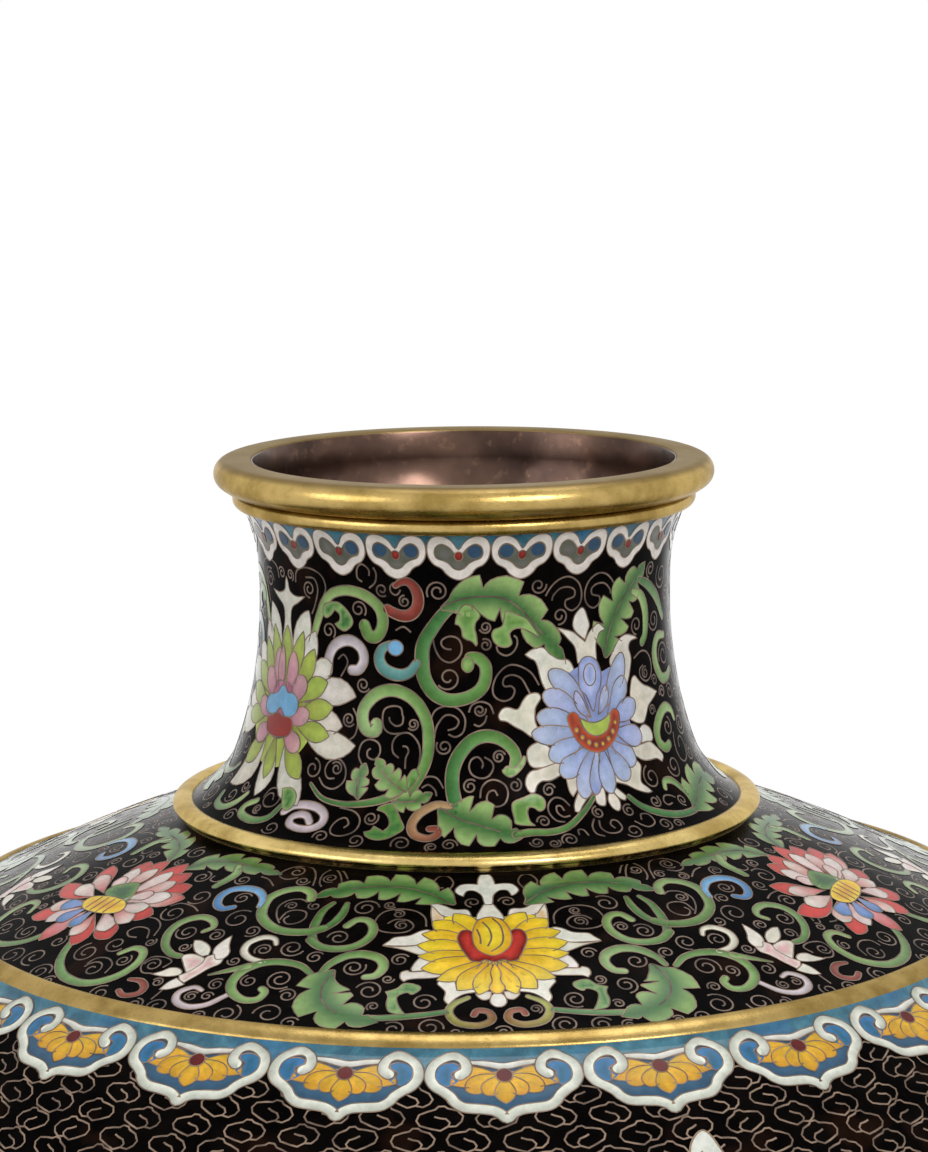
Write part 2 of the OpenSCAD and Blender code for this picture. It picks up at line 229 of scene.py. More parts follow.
# What the gilding reflects where it is seen at a slant.
GILT_SLANT = (0.84, 0.76, 0.62, 1)


# ---- motifs ----
# Each line is one shape: its kind and layer, colours and widths in mm, then points as angle,distance down.
# A line that starts with a space goes on with the shape above it.
# F is a filled cell (edge/middle colour), M the right half of one, B one without a wire, E an ellipse (its
# middle and half sizes) and W a bare wire. P is a pointed petal and R a round one (base>tip colour, width).
# S is a stroke (start>end colour, widths) and A a lobed leaf along its midrib (edge/midrib colour, width,
# lobes).
NECK_SCROLL = """
S0 green>leaf 1.6,2.2,1.9,1.7 | -1.5,11.5 -5,13 -8.5,15.5 -11,18 -11.5,20.3 -11,23 -8.8,25.3 -5.5,26.5
 -2,26.6 1.5,26 4.2,24.8 5.3,23.2 5.2,21.4 3.5,20.3 1.3,20.2
E1 leaf/mint | 0.6,21.2 1.6,1.2
S0 green>leaf 2.1,2,1.6 | -2.3,43 -3.3,40 -3.2,37.2 -1.6,34.8 1.5,32.8 5,32.1 8.5,32.6 11.3,34 12.3,35.4
 11.8,37
F1 mint/leaf | 9.2,37.2 10,36.8 11.3,37.1 12.6,36.9 14.2,35.4 14.8,35.6 14.4,36.6 12.7,37.8 10.8,38.5
 9.4,38.1 8.8,37.5
A0 mint/green 6.8 5 | -6.4,12.4 -1,11.2 5,10.8 11,11.4 16,13.6 20.4,16.6 24.4,19.2 27.6,22
F1 mint/leaf | 10.8,13.2 13,13.6 16.5,14.5 19,16.4 20.2,17.6 17.6,16.6 15,15.9 13,16 11.9,16.6 12,17.2
 12.4,18.2 11,18.7 9,18.5 7.6,17.8 7.1,16.8 7.6,16 9,15.7 10,15.3 10.4,14.2
F0 mint/leaf | 0,12 3,12.8 4,13.8 2.8,14.8 2.6,15.8 3,16.8 3.2,18 2.9,18.4 1.8,17.7 .3,17.4 -.7,16.9
 -.9,15.9 -1.6,15.2 -2.6,15 -2,13.5
W0 | 8.3,18.5 8.8,19.4 10.8,20 12.8,19.5 13.9,18.4 13.8,17.4 13,17
A0 mint/green 8 4 | -6,43 -1.8,44.8 3,46 8,47.4 12.4,48.2
S0 leaf>green 1.4,1.2,.9,.6 | 10.5,47.9 14,47.6 18,47.8 22,47.2 26,45.4 29,43.8 31,42.6
F0 mint/leaf | 11,46 10.6,45 10.4,43 11.2,42.2 13.5,41.7 15.8,41.2 17.8,41.8 18.4,42.7 17.8,43.7 16.6,44
 15.6,43.4 14.4,43.3 13.8,44.2 14,45.6 15,46.4
W0 | -8.6,17.2 -8,18.8 -6.5,20.3 -4,20.9 -1.6,20 -.9,18.6 -1.8,17.3 -4,16.9 -6,17.4 -6.3,18.2 -5.2,18.8
 -3.6,18.9
W0 | 19.6,24.8 17.5,22.8 14,21.6 11,21.6 8.3,23 7.1,24.8 7.6,26.2 9.8,26.9 12,26.5 12.9,25.4 12,24.7
 10.4,24.7 9.8,24.2 10.4,23.3 12.5,23 14.8,23.6 16.2,25 17,26
W0 | 7.2,28.8 6.2,27.4 3.8,26.9 1.6,27.4 .8,28.5
W0 | 5.4,29 4.8,30 3.4,30.6 2,30.3
W0 | 4.5,35.3 6.2,36 6.6,37 5.4,38.2 3.4,38.5 1.4,37.9 .7,36.7 1.4,35.6 3,35.3 4.1,36.2 3.8,37
W0 | 3.2,41.5 3.6,40 5,39 7,38.8 9.2,39.6 9.8,41 8.8,42.5 6.5,42.9 4.8,41.9 5.2,40.7 6.6,40.4 7.3,41.2
W0 | 21.9,11.2 23.5,9.8 26,8.7 29,8.5 31.8,9.6 32.9,11.4 32.2,13 30,13.8 28,13.2 27.8,12.2 29.2,11.9
 30.5,11.6 30.6,10.7 28.8,10.1 26.2,10.2 24.2,11.2 23.8,12
W0 | 44.9,11.2 43.3,9.8 40.8,8.7 37.8,8.5 35,9.6 33.9,11.4 34.6,13 36.8,13.8 38.8,13.2 39,12.2 37.6,11.9
 36.3,11.6 36.2,10.7 38,10.1 40.6,10.2 42.6,11.2 43,12
W0 | 24.2,43.6 22.8,42.4 20.8,42.1 19.1,43 18.8,44.4 20,45.8 21.9,46.2
W0 | 23.6,45.2 22,45.3 20.8,44.5 20.9,43.5 22,43.5 22.5,44.3
W0 | 24,48.9 24.2,47.9 25.4,48 26,49.2
W0 | 29,46.2 27.8,47.5 27.9,49 29.5,49.8
W0 | 30,46.6 29.6,48 30.8,49.2 33,49.4 34.6,48.6 34.4,47.3 33.2,46.9 32.3,47.6 32.9,48.5
W0 | 38.6,47.8 41,49.4 43.6,48.8 43.4,47.2 41.4,46.8 40.6,47.8
W0 | -9,29.6 -7.8,28.2 -5,27.5 -2,27.9 -.2,29.4 -.6,31.4 -2.6,32.2 -4.4,31.8
W0 | -4.6,31.2 -2.6,30.8 -1.8,29.8 -3.2,29 -5.4,29 -7.4,30.6 -8,32.4
W0 | -5.4,40 -7,38.5 -9.4,38.3 -11.4,39.3 -11.4,40.5
W0 | -10.6,40 -9,39.5 -7.4,40.3 -7,41.2
A0 mint/green 7.4 5 | 40.2,21.6 42.4,17.8 45.6,14.6 50,12 54.4,9.8 57.6,8
S0 mint>leaf 1.6 | 52.4,12.4 56.4,13.4 58.8,16.2 58.2,19.4 56.4,20.6
S0 green>leaf 1.5 | 55,10.6 60.4,12 66,14.4 70.6,17.8
S0 mint>leaf 1.6 | 71,20.8 66,20.6 63.2,22.4 63.4,25 66,27.2 70,27.4 73,26.6
S0 mint>leaf 1.6 | 69.2,34 68.4,32.6 65,31.8 61,32.6 57.8,34.6 57.6,36.6 60,37.8 62.4,37.4
S0 green>green 1.3 | 40.6,43.6 43,45.6 47,47.4 52,48.6 57,48.8 60,48.2
S0 green>mint 1.1 | 60,47.4 59.8,45 57.6,43 54.6,42.6 53.4,43.6
A0 mint/green 7 4 | 57.6,48.6 62.6,47 68,45.4 73.6,44.6 80,46.2
W0 | 55,45.6 53.6,45 51.6,44.8 50.4,45.6 51,46.4 52.8,46.3
W0 | 52,22.8 55.5,22 58.6,22.4 60.4,24 59.8,26 57,26.8 54.4,26 54.2,24.8 56,24.2
W0 | 66.5,36 65.4,38 65.8,40 68,41 70.6,40.4 71.6,38.6 70.4,37.2 68.4,37.4 67.8,38.6
W0 | 72.4,31 74,30 76.6,30.2 77.8,31.6 77,33.2 75,33.6 73.8,32.6
W0 | 75,11 77.4,10 80,10.8 80.8,12.6 79.4,14.2 77,14 76.2,12.8 77.4,12
"""
NECK_LEFT = """
S0 brick>brick .8,1.6,1.8,1.5 | -18.6,9.3 -17,8.7 -15,8.6 -13.2,9.6 -12.4,11 -12.8,12.6 -14.6,13.7
 -17,13.9 -19.4,13.5 -21,13
W0 | -17.2,9.9 -18,10.6 -19,10.7 -20,10.2 -20,9.4 -19,8.8
S0 mint>leaf 1.3,1.6,1.9 | -45,18 -43,15 -41,12.8 -38,11.3 -34,10.6 -30,10.7 -26.5,11.4 -23.5,12.8
 -22.4,14.6 -23,16.4 -24.6,17.4 -26.6,17.2 -27.8,15.8
F1 mint/green | -41,13.2 -38,12.6 -35.6,12.7 -33.4,13.6 -31.6,15 -31.9,16 -34,16.9 -36,16.6 -37.4,16
 -35.8,15.4 -35.8,14.4 -37.5,13.8 -38.6,14.6 -40.4,15.2 -41.6,14.6
S0 lilac>lilac 1.5,1.7,1.7 | -31.6,22.8 -29.4,22.6 -28,21.2 -28.6,19.6 -31,18.5 -34,18.4 -37.4,19.4
 -39.2,21.2 -39.4,23.4
E1 sky/sky | -18.8,18.9 2.2,1.2
S0 teal>teal 1.7 | -20.4,18.4 -22.6,19.2 -23.4,20.6 -22.4,22 -20,22.8 -17,23 -14.6,22.4 -13,21.2
S0 leaf>mint 1.6,1.8,2 | -13.4,40.4 -11,37.8 -9.6,35.2 -9.4,32.4 -10.2,29.6 -12.6,27.2 -16,25.8 -20,25.4
 -24,26.2 -27,28.2 -27.4,30.2 -26,31.6 -23.6,31.7 -23.4,30.8
S0 green>leaf .5,1,1.6 | -40,41 -36,42.8 -31,43.4 -26,43.2 -21,42.4 -17,41.2 -14,39.6 -12.4,38
A1 mint/green 3.6 3 | -26.2,42.4 -26.8,40 -25.2,36.8
A1 mint/leaf 4.4 4 | -14.2,40.8 -17.6,39.6 -20.4,38 -22.6,35.8
A1 mint/green 3.2 3 | -17.4,42.2 -13,42.2 -8,40.8
F1 leaf/green | -20,43.2 -17.4,42.6 -16.2,43.4 -14.6,45.2 -13.6,46.6 -14.6,47.6 -17,48.9 -19.4,49.2
 -21.4,48.6 -22.2,47.8 -20.8,47.4 -20.4,46.6 -18,47.4 -17,46.4 -17.4,45.2 -18.6,44.2 -20.6,43.8
S0 lilac>lilac 1.2,1.4,1.4 | -36,47.2 -37.6,46.2 -39.8,46.2 -41.4,47 -40.8,48.2 -38,48.7 -35,48.4 -33,47.2
 -33.2,45.6 -35.6,44.6 -39,44.4 -42.4,44.9 -44.4,46.2
S0 tan>brick 1,1.4,1.4,1 | -3.8,42.8 -7,42.6 -10.6,44 -12,46 -11,47.8 -8.2,48.4 -6.2,47.6 -6.4,46.6
 -8,46.6
W0 | -16.4,29.2 -17,28 -19.2,27.8 -21.4,28.4 -21.8,30 -21,31.4 -19,32 -16,31.8
W0 | -16.2,29.2 -16.4,30.4 -18,30.8 -19.6,30.2 -20,29.5
W0 | -11.6,36.8 -11.4,34.6 -12.2,33 -14.4,31.8 -17,32 -18.6,33.2 -18.4,34.8 -16.8,35.6
W0 | -16,33.8 -14.9,33.9 -14.4,34.6 -15,35.6 -15,37.2
W0 | -26.4,37 -27.6,35.6 -27,33.8 -24.8,33.1 -22.4,33.6 -21.8,35 -23,36.1 -25,35.8 -25.2,34.9 -24.4,34.5
W0 | -38,39.8 -36,41 -33,41.2 -30.6,39.8 -30.8,37.8 -33,36.6 -35.8,37.2 -36.6,38.6 -35.4,39.7 -33.4,39.6
W0 | -26.2,9.9 -24.4,9 -23.9,7.6 -24.6,6.6
W0 | -26,8 -26,7 -27.8,6.2 -29.4,6.9 -29.6,8.4 -28.2,9
W0 | -30,44 -26,44.4 -24,45.8 -24.4,47.8 -27,49 -29.4,48.8 -30.2,47.6 -29.4,46.2 -27.6,45.6 -26.4,46.6
 -27.2,47.4
W0 | -52.6,10.5 -51.6,8.6 -47,7.8 -42,8.6 -40.4,10.6 -42,12.6
W0 | -48,9.4 -44.6,9.4 -43.4,11 -44.6,13.4 -46,15
W0 | -30.5,28.6 -28.8,30.4 -29.2,32.6 -31,33.6
W0 | -35,24 -33,21.8 -34.4,20.6 -36.2,21.4
W0 | -14.5,16.4 -16.6,15.6 -18.8,16.2
"""
# elements mirrored about the pink lotus to fill the other side of it
NECK_FAR = """
S0 mint>leaf 1.3,1.6,1.9 | -45,18 -43,15 -41,12.8 -38,11.3 -34,10.6 -30,10.7 -26.5,11.4 -23.5,12.8
 -22.4,14.6 -23,16.4 -24.6,17.4 -26.6,17.2 -27.8,15.8
F1 mint/green | -41,13.2 -38,12.6 -35.6,12.7 -33.4,13.6 -31.6,15 -31.9,16 -34,16.9 -36,16.6 -37.4,16
 -35.8,15.4 -35.8,14.4 -37.5,13.8 -38.6,14.6 -40.4,15.2 -41.6,14.6
S0 teal>teal 1.5,1.7,1.7 | -31.6,22.8 -29.4,22.6 -28,21.2 -28.6,19.6 -31,18.5 -34,18.4 -37.4,19.4
 -39.2,21.2 -39.4,23.4
S0 leaf>mint 1.4,1.7,1.6 | -30,43.6 -26,41.4 -24.4,38 -25.4,34.4 -28.6,32.6 -32,33 -33.6,35 -32.6,36.8
 -30.6,36.8
S0 green>leaf .5,1,1.5 | -41,41.4 -37,43.2 -32,44 -28,43.4
F1 mint/green | -33,45.4 -30,44.6 -26.6,44.8 -24,46 -23.4,47.6 -25,48.8 -28.6,49.3 -31.6,48.6 -29.6,47.6
 -28.4,46.8 -31,46.8
W0 | -38,39.8 -36,41 -33,41.2 -30.6,39.8
W0 | -30.4,28.8 -27,27.2 -23.8,28.4 -23.2,30.8 -25.4,32 -28,31.4 -28,29.8 -26.2,29.6
W0 | -52.6,10.5 -51.6,8.6 -47,7.8 -42,8.6 -40.4,10.6 -42,12.6
W0 | -48,9.4 -44.6,9.4 -43.4,11 -44.6,13.4 -46,15
W0 | -37,27.6 -34.6,29.6 -36.6,31.6 -39.6,31.4
"""
BLUE_LOTUS = """
F0 white/cream | 16,20 18,19.3 21,19.1 23,20.2 25.6,21.1 28.4,21.4 30,23 30.6,26 29,28.6 26,28.4 23,27
 20.8,25 20,23.6 19.4,22 18.6,21 17.4,20.6
F0 white/cream | 8.4,29 9.4,28.1 11,27.9 13,28.3 14,28 15,27 16.6,26.1 19,26 19.8,26.8 18.4,28 18,29
 18,30.4 19,32 17,32.6 14.6,31.6 12.4,30.8 10.4,30 8.8,29.8
F0 white/cream | 15.2,35 16,34.1 18,33.5 20,33.7 22,35.2 22,37 19,37.3 16.6,37.2 15.4,36.4
F0 white/cream | 25,16.2 27.4,16.6 30,17.1 32,18 33.9,18.9 35.2,17.6 36.6,16.9 38.6,16.3 41,17.4 39,17.7
 38,18.6 37.4,19.8 37.5,22 31.2,22 30.9,20.2 30.2,19.2 28.6,18.2 27,17.2
F0 white/white | 33,13.5 34,14 34.8,15.2 35.4,16.4 34.7,17.4 33.9,18.5 32.6,18 31,17.2 30.1,16.2 30.4,15
 31.6,14
F0 white/cream | 14.2,39.8 14.6,38.6 15.8,37.8 17.6,37.6 20,37.2 23,36.8 26,37 24.6,38.2 23,38.8 20.6,39.4
 18.4,39.4 17,40 16.2,41 15,40.9
F0 white/cream | 24.6,38.6 26.4,38.7 28,39.8 27.2,41 25.6,42.2 24.9,41.2
F0 white/cream | 25,44.6 25.4,43.4 27,41.8 28.6,40.4 30,39.2 33.4,38 34,39.4 33.2,41 31,42 29.4,42.6
 27.4,43.8 26,44.8
F0 white/white | 31.2,43.6 31.4,42.4 32.8,41.3 34.2,41.6 34,43 33.2,44.2 32,44.2
F0 white/white | 36.6,42.2 37.6,41.8 39,42.6 39.9,43.4 39,44 37.6,43.4
F0 white/cream | 35.4,42.4 36.6,42.6 37.4,43.8 36.9,45 35.9,45.5 34.8,44.9 34.4,43.6
F0 white/cream | 37.4,39.6 38.2,38.6 41,39.2 43,38.8 45,37.8 47,38.6 47.6,39.4 46.7,40.6 46.2,41.8
 47.6,42.8 48.4,43.6 46.6,43.6 44,42.8 41.6,41.8 39.4,41.2 38,40.8
F0 white/cream | 45,36.2 47.6,36.1 50,36.1 53,36 55,36.8 57.6,38.6 56.4,39.6 54.6,38.9 52,38.8 49.4,38.6
 47,37.8 45.4,37
F0 white/white | 49,34.6 50.4,33.6 52.5,33.2 54.6,34 55.2,35.2 54.4,36 52,35.9 50,35.8
F0 white/cream | 48.6,28.4 49.4,26.8 50.2,25.8 51.6,25.5 53,26.3 55,27.2 58,27.9 61.6,28.9 59,29.7 56,30.6
 54.4,31.8 52.6,32.9 50,32.8 47.5,32 48.6,30.6
F0 white/cream | 42,22.6 43,21.4 44.6,20.2 46.5,19.2 49,18.8 52,19.2 54,19.8 51,20 49.9,21 50.6,22.6
 49.6,24.6 48.4,26 46.6,27.2 44.6,27.2 43.6,25
B0 lavender/lavender | 24,24 28,23.4 31.4,22.6 36,22.4 38.6,23.8 42.6,23.4 44,25.6 43.6,27.8 47,29.4
 46.8,31.4 47.6,34 45.6,35.4 43.4,37.2 41,38.6 37.6,38.8 36.6,40.6 34.6,40.6 32,40.6 30.6,39.4 27,37.8
 24.4,36.8 22.6,34.6 22,32 21,30.6 23.4,28.4 24,26
R1 lavender>pale 3.4 | 34,30.6 28.6,26 22.4,22.8
R1 lavender>pale 3.4 | 38.4,29.4 43,26 46.8,21.4
R1 lavender>pale 3.4 | 33,31 26.4,28 20.4,26.2
R1 lavender>pale 3.2 | 39.4,30.4 43.8,28 46.4,25
R1 lavender>pale 3.5 | 32.4,31.6 25,30.4 18.4,29.6
R1 lavender>pale 3.4 | 40,31.4 45,30.6 50.2,29.2
R1 lavender>pale 3.1 | 32,32 24,32.6 16.8,32
R1 lavender>pale 3.5 | 40.6,33 46,34.2 50.6,35
R1 lavender>pale 3.4 | 32.2,33 26,34.8 20.8,35.9
R1 lavender>pale 3.4 | 39.2,34.2 43,37 46.6,38
R1 lavender>pale 3.4 | 33,34.2 27.6,37.2 23,38.2
R1 lavender>pale 3.3 | 37.6,34.8 40.4,38.4 42.4,41
R1 lavender>pale 3.2 | 34,34.8 30.6,38.6 28.4,42.8
R1 pale>lavender 2.2 | 34.6,35 33,39 31.6,42.4
R1 lavender>pale 3.0 | 36,35 36,38.8 36,42.6
F1 lavender/pale | 31.2,24 31.8,22 33.6,21.2 36,21.4 37.8,22.4 38.6,24.2 38,26 36.6,27.2 35.4,29.4
 34.6,29.4 33.2,27.2 31.4,26
E2 pale/lavender | 34.8,24 2,1.7
R1 lavender>pale 1.7 | 34,30.4 31.6,29 30,26.2
R1 lavender>pale 1.7 | 36.4,30.2 38.4,28.6 39.8,26
F2 orange/brick | 26.8,30.2 28.6,29.4 30.2,30 30.6,31.2 32,32.6 34,33.3 36.2,33.4 38.6,32.6 40,31.2
 40.6,30.2 42,29.8 43.4,30.6 42.8,32.4 41,34.2 38.4,35.4 35.2,36 32,35.5 29.6,34.3 28,32.7
E3 amber/amber | 29.2,32.2 .55,.36
E3 amber/amber | 30.6,33.4 .55,.36
E3 amber/amber | 32.4,34.3 .55,.36
E3 amber/amber | 34.4,34.8 .55,.36
E3 amber/amber | 36.5,34.8 .55,.36
E3 amber/amber | 38.5,34.2 .55,.36
E3 amber/amber | 40.3,33.2 .55,.36
E3 amber/amber | 41.6,31.9 .55,.36
F2 lime/lime | 30.4,30.3 32.5,31.1 35.2,31.4 38.2,31 40.2,30.3 39.8,31.8 38.2,33 35.4,33.5 33,33 31.4,31.9
"""
PINK_LOTUS_RIGHT = """
B0 lime/olive | -57,20 -52,21 -47.6,23.6 -44.6,26.4 -42.4,30 -43.4,34 -47.4,37.4 -52,39.4 -57,40
P0 white>white 4.0 | -53.6,26 -50.8,19.6 -47.2,14.6
P0 white>white 3.8 | -50,27.6 -47.6,22.4 -44.4,17.6
P0 white>white 3.6 | -48,28 -42.6,24 -38,22.4
P0 white>cream 4.4 | -47,29 -38.6,26.6 -29.8,26.9
P0 white>cream 4.2 | -47,31.6 -40,31.4 -33.2,31.6
P0 white>cream 4.4 | -47,33 -38,34.6 -28.8,34.3
P0 white>cream 5.1 | -52,34.6 -48.6,40.2 -41.6,44.8
P1 olive>lime 3.1 | -55,28 -52.4,23.4 -49.4,18
P1 olive>lime 3.2 | -52,28.6 -48,24.6 -44.6,20.4
P1 olive>lime 3.4 | -51,29.6 -45,26.8 -39.2,25.2
P1 olive>lime 3.4 | -50,30.6 -43,29.8 -36.8,28.8
P1 olive>lime 3.2 | -50,32.4 -43.4,33 -37,33.4
P1 olive>lime 3.5 | -53,34 -48.4,37.8 -44,40.6
R2 rose>pink 2.9 | -55.6,30 -53.6,25.6 -53.4,21.4
R2 rose>pink 3.4 | -53.6,30.6 -50.4,27.4 -47.6,25
R2 rose>pink 3.0 | -54,32 -49,31.4 -44.8,30.2
R2 rose>pink 3.2 | -54.6,33.6 -50.4,35 -46.4,36.2
"""
PINK_LOTUS_MID = """
P0 white>white 4.2 | -57,34.4 -57.2,45
M0 white/white | -57,9.9 -56.3,10.8 -55.6,12.1 -52.6,12.7 -48.6,12.5 -51.6,13.6 -54.6,14.6 -55.4,16
 -55.2,17.8 -54.2,20 -53.4,22 -57,22.4
P1 olive>lime 3 | -57,27 -57,17.6
P1 olive>lime 2.9 | -57,34.6 -57.2,42
P2 rose>pink 2.3 | -57.6,30 -58.8,25.4 -58.6,20.8
F2 rose/rose | -61,27 -57,26.4 -53,27 -51.6,31 -53,34.4 -57,35.4 -61,34.4 -62.4,31
F3 sky/sky | -65.2,30.6 -64,29.2 -61,28.7 -59.2,28.2 -57.8,27.2 -56,27.1 -54.6,27.9 -52,27.9 -50,28.6
 -49.4,30 -50.8,31.3 -54.4,31.7 -57,30.6 -59.4,31.7 -62.4,32 -64.4,31.6
F3 red/red | -62.5,32.6 -60,32 -58,31.4 -56,31.8 -51.6,31.8 -50.4,33.2 -52,34.6 -57,35.2 -61,34.9
 -62.6,33.8
S0 mint>green 1.3 | -60.4,45 -62.6,47.4 -66,49 -70,48.6 -71.6,46.8
S0 green>mint 1.3 | -46.4,45.4 -48,48 -52,49.2 -57,48.6 -57.8,47 -55,45.6
F1 mint/green | -48.6,42.6 -45.6,42.2 -43.2,43.2 -42.8,45.2 -44.4,46 -46.4,45
W0 | -53.6,44.8 -53,43.4 -51,42.8 -48.8,43.4 -48,44.6 -49,45.8 -51.4,46.1 -53,45.2 -52.4,44 -50.8,43.8
 -50,44.8
"""
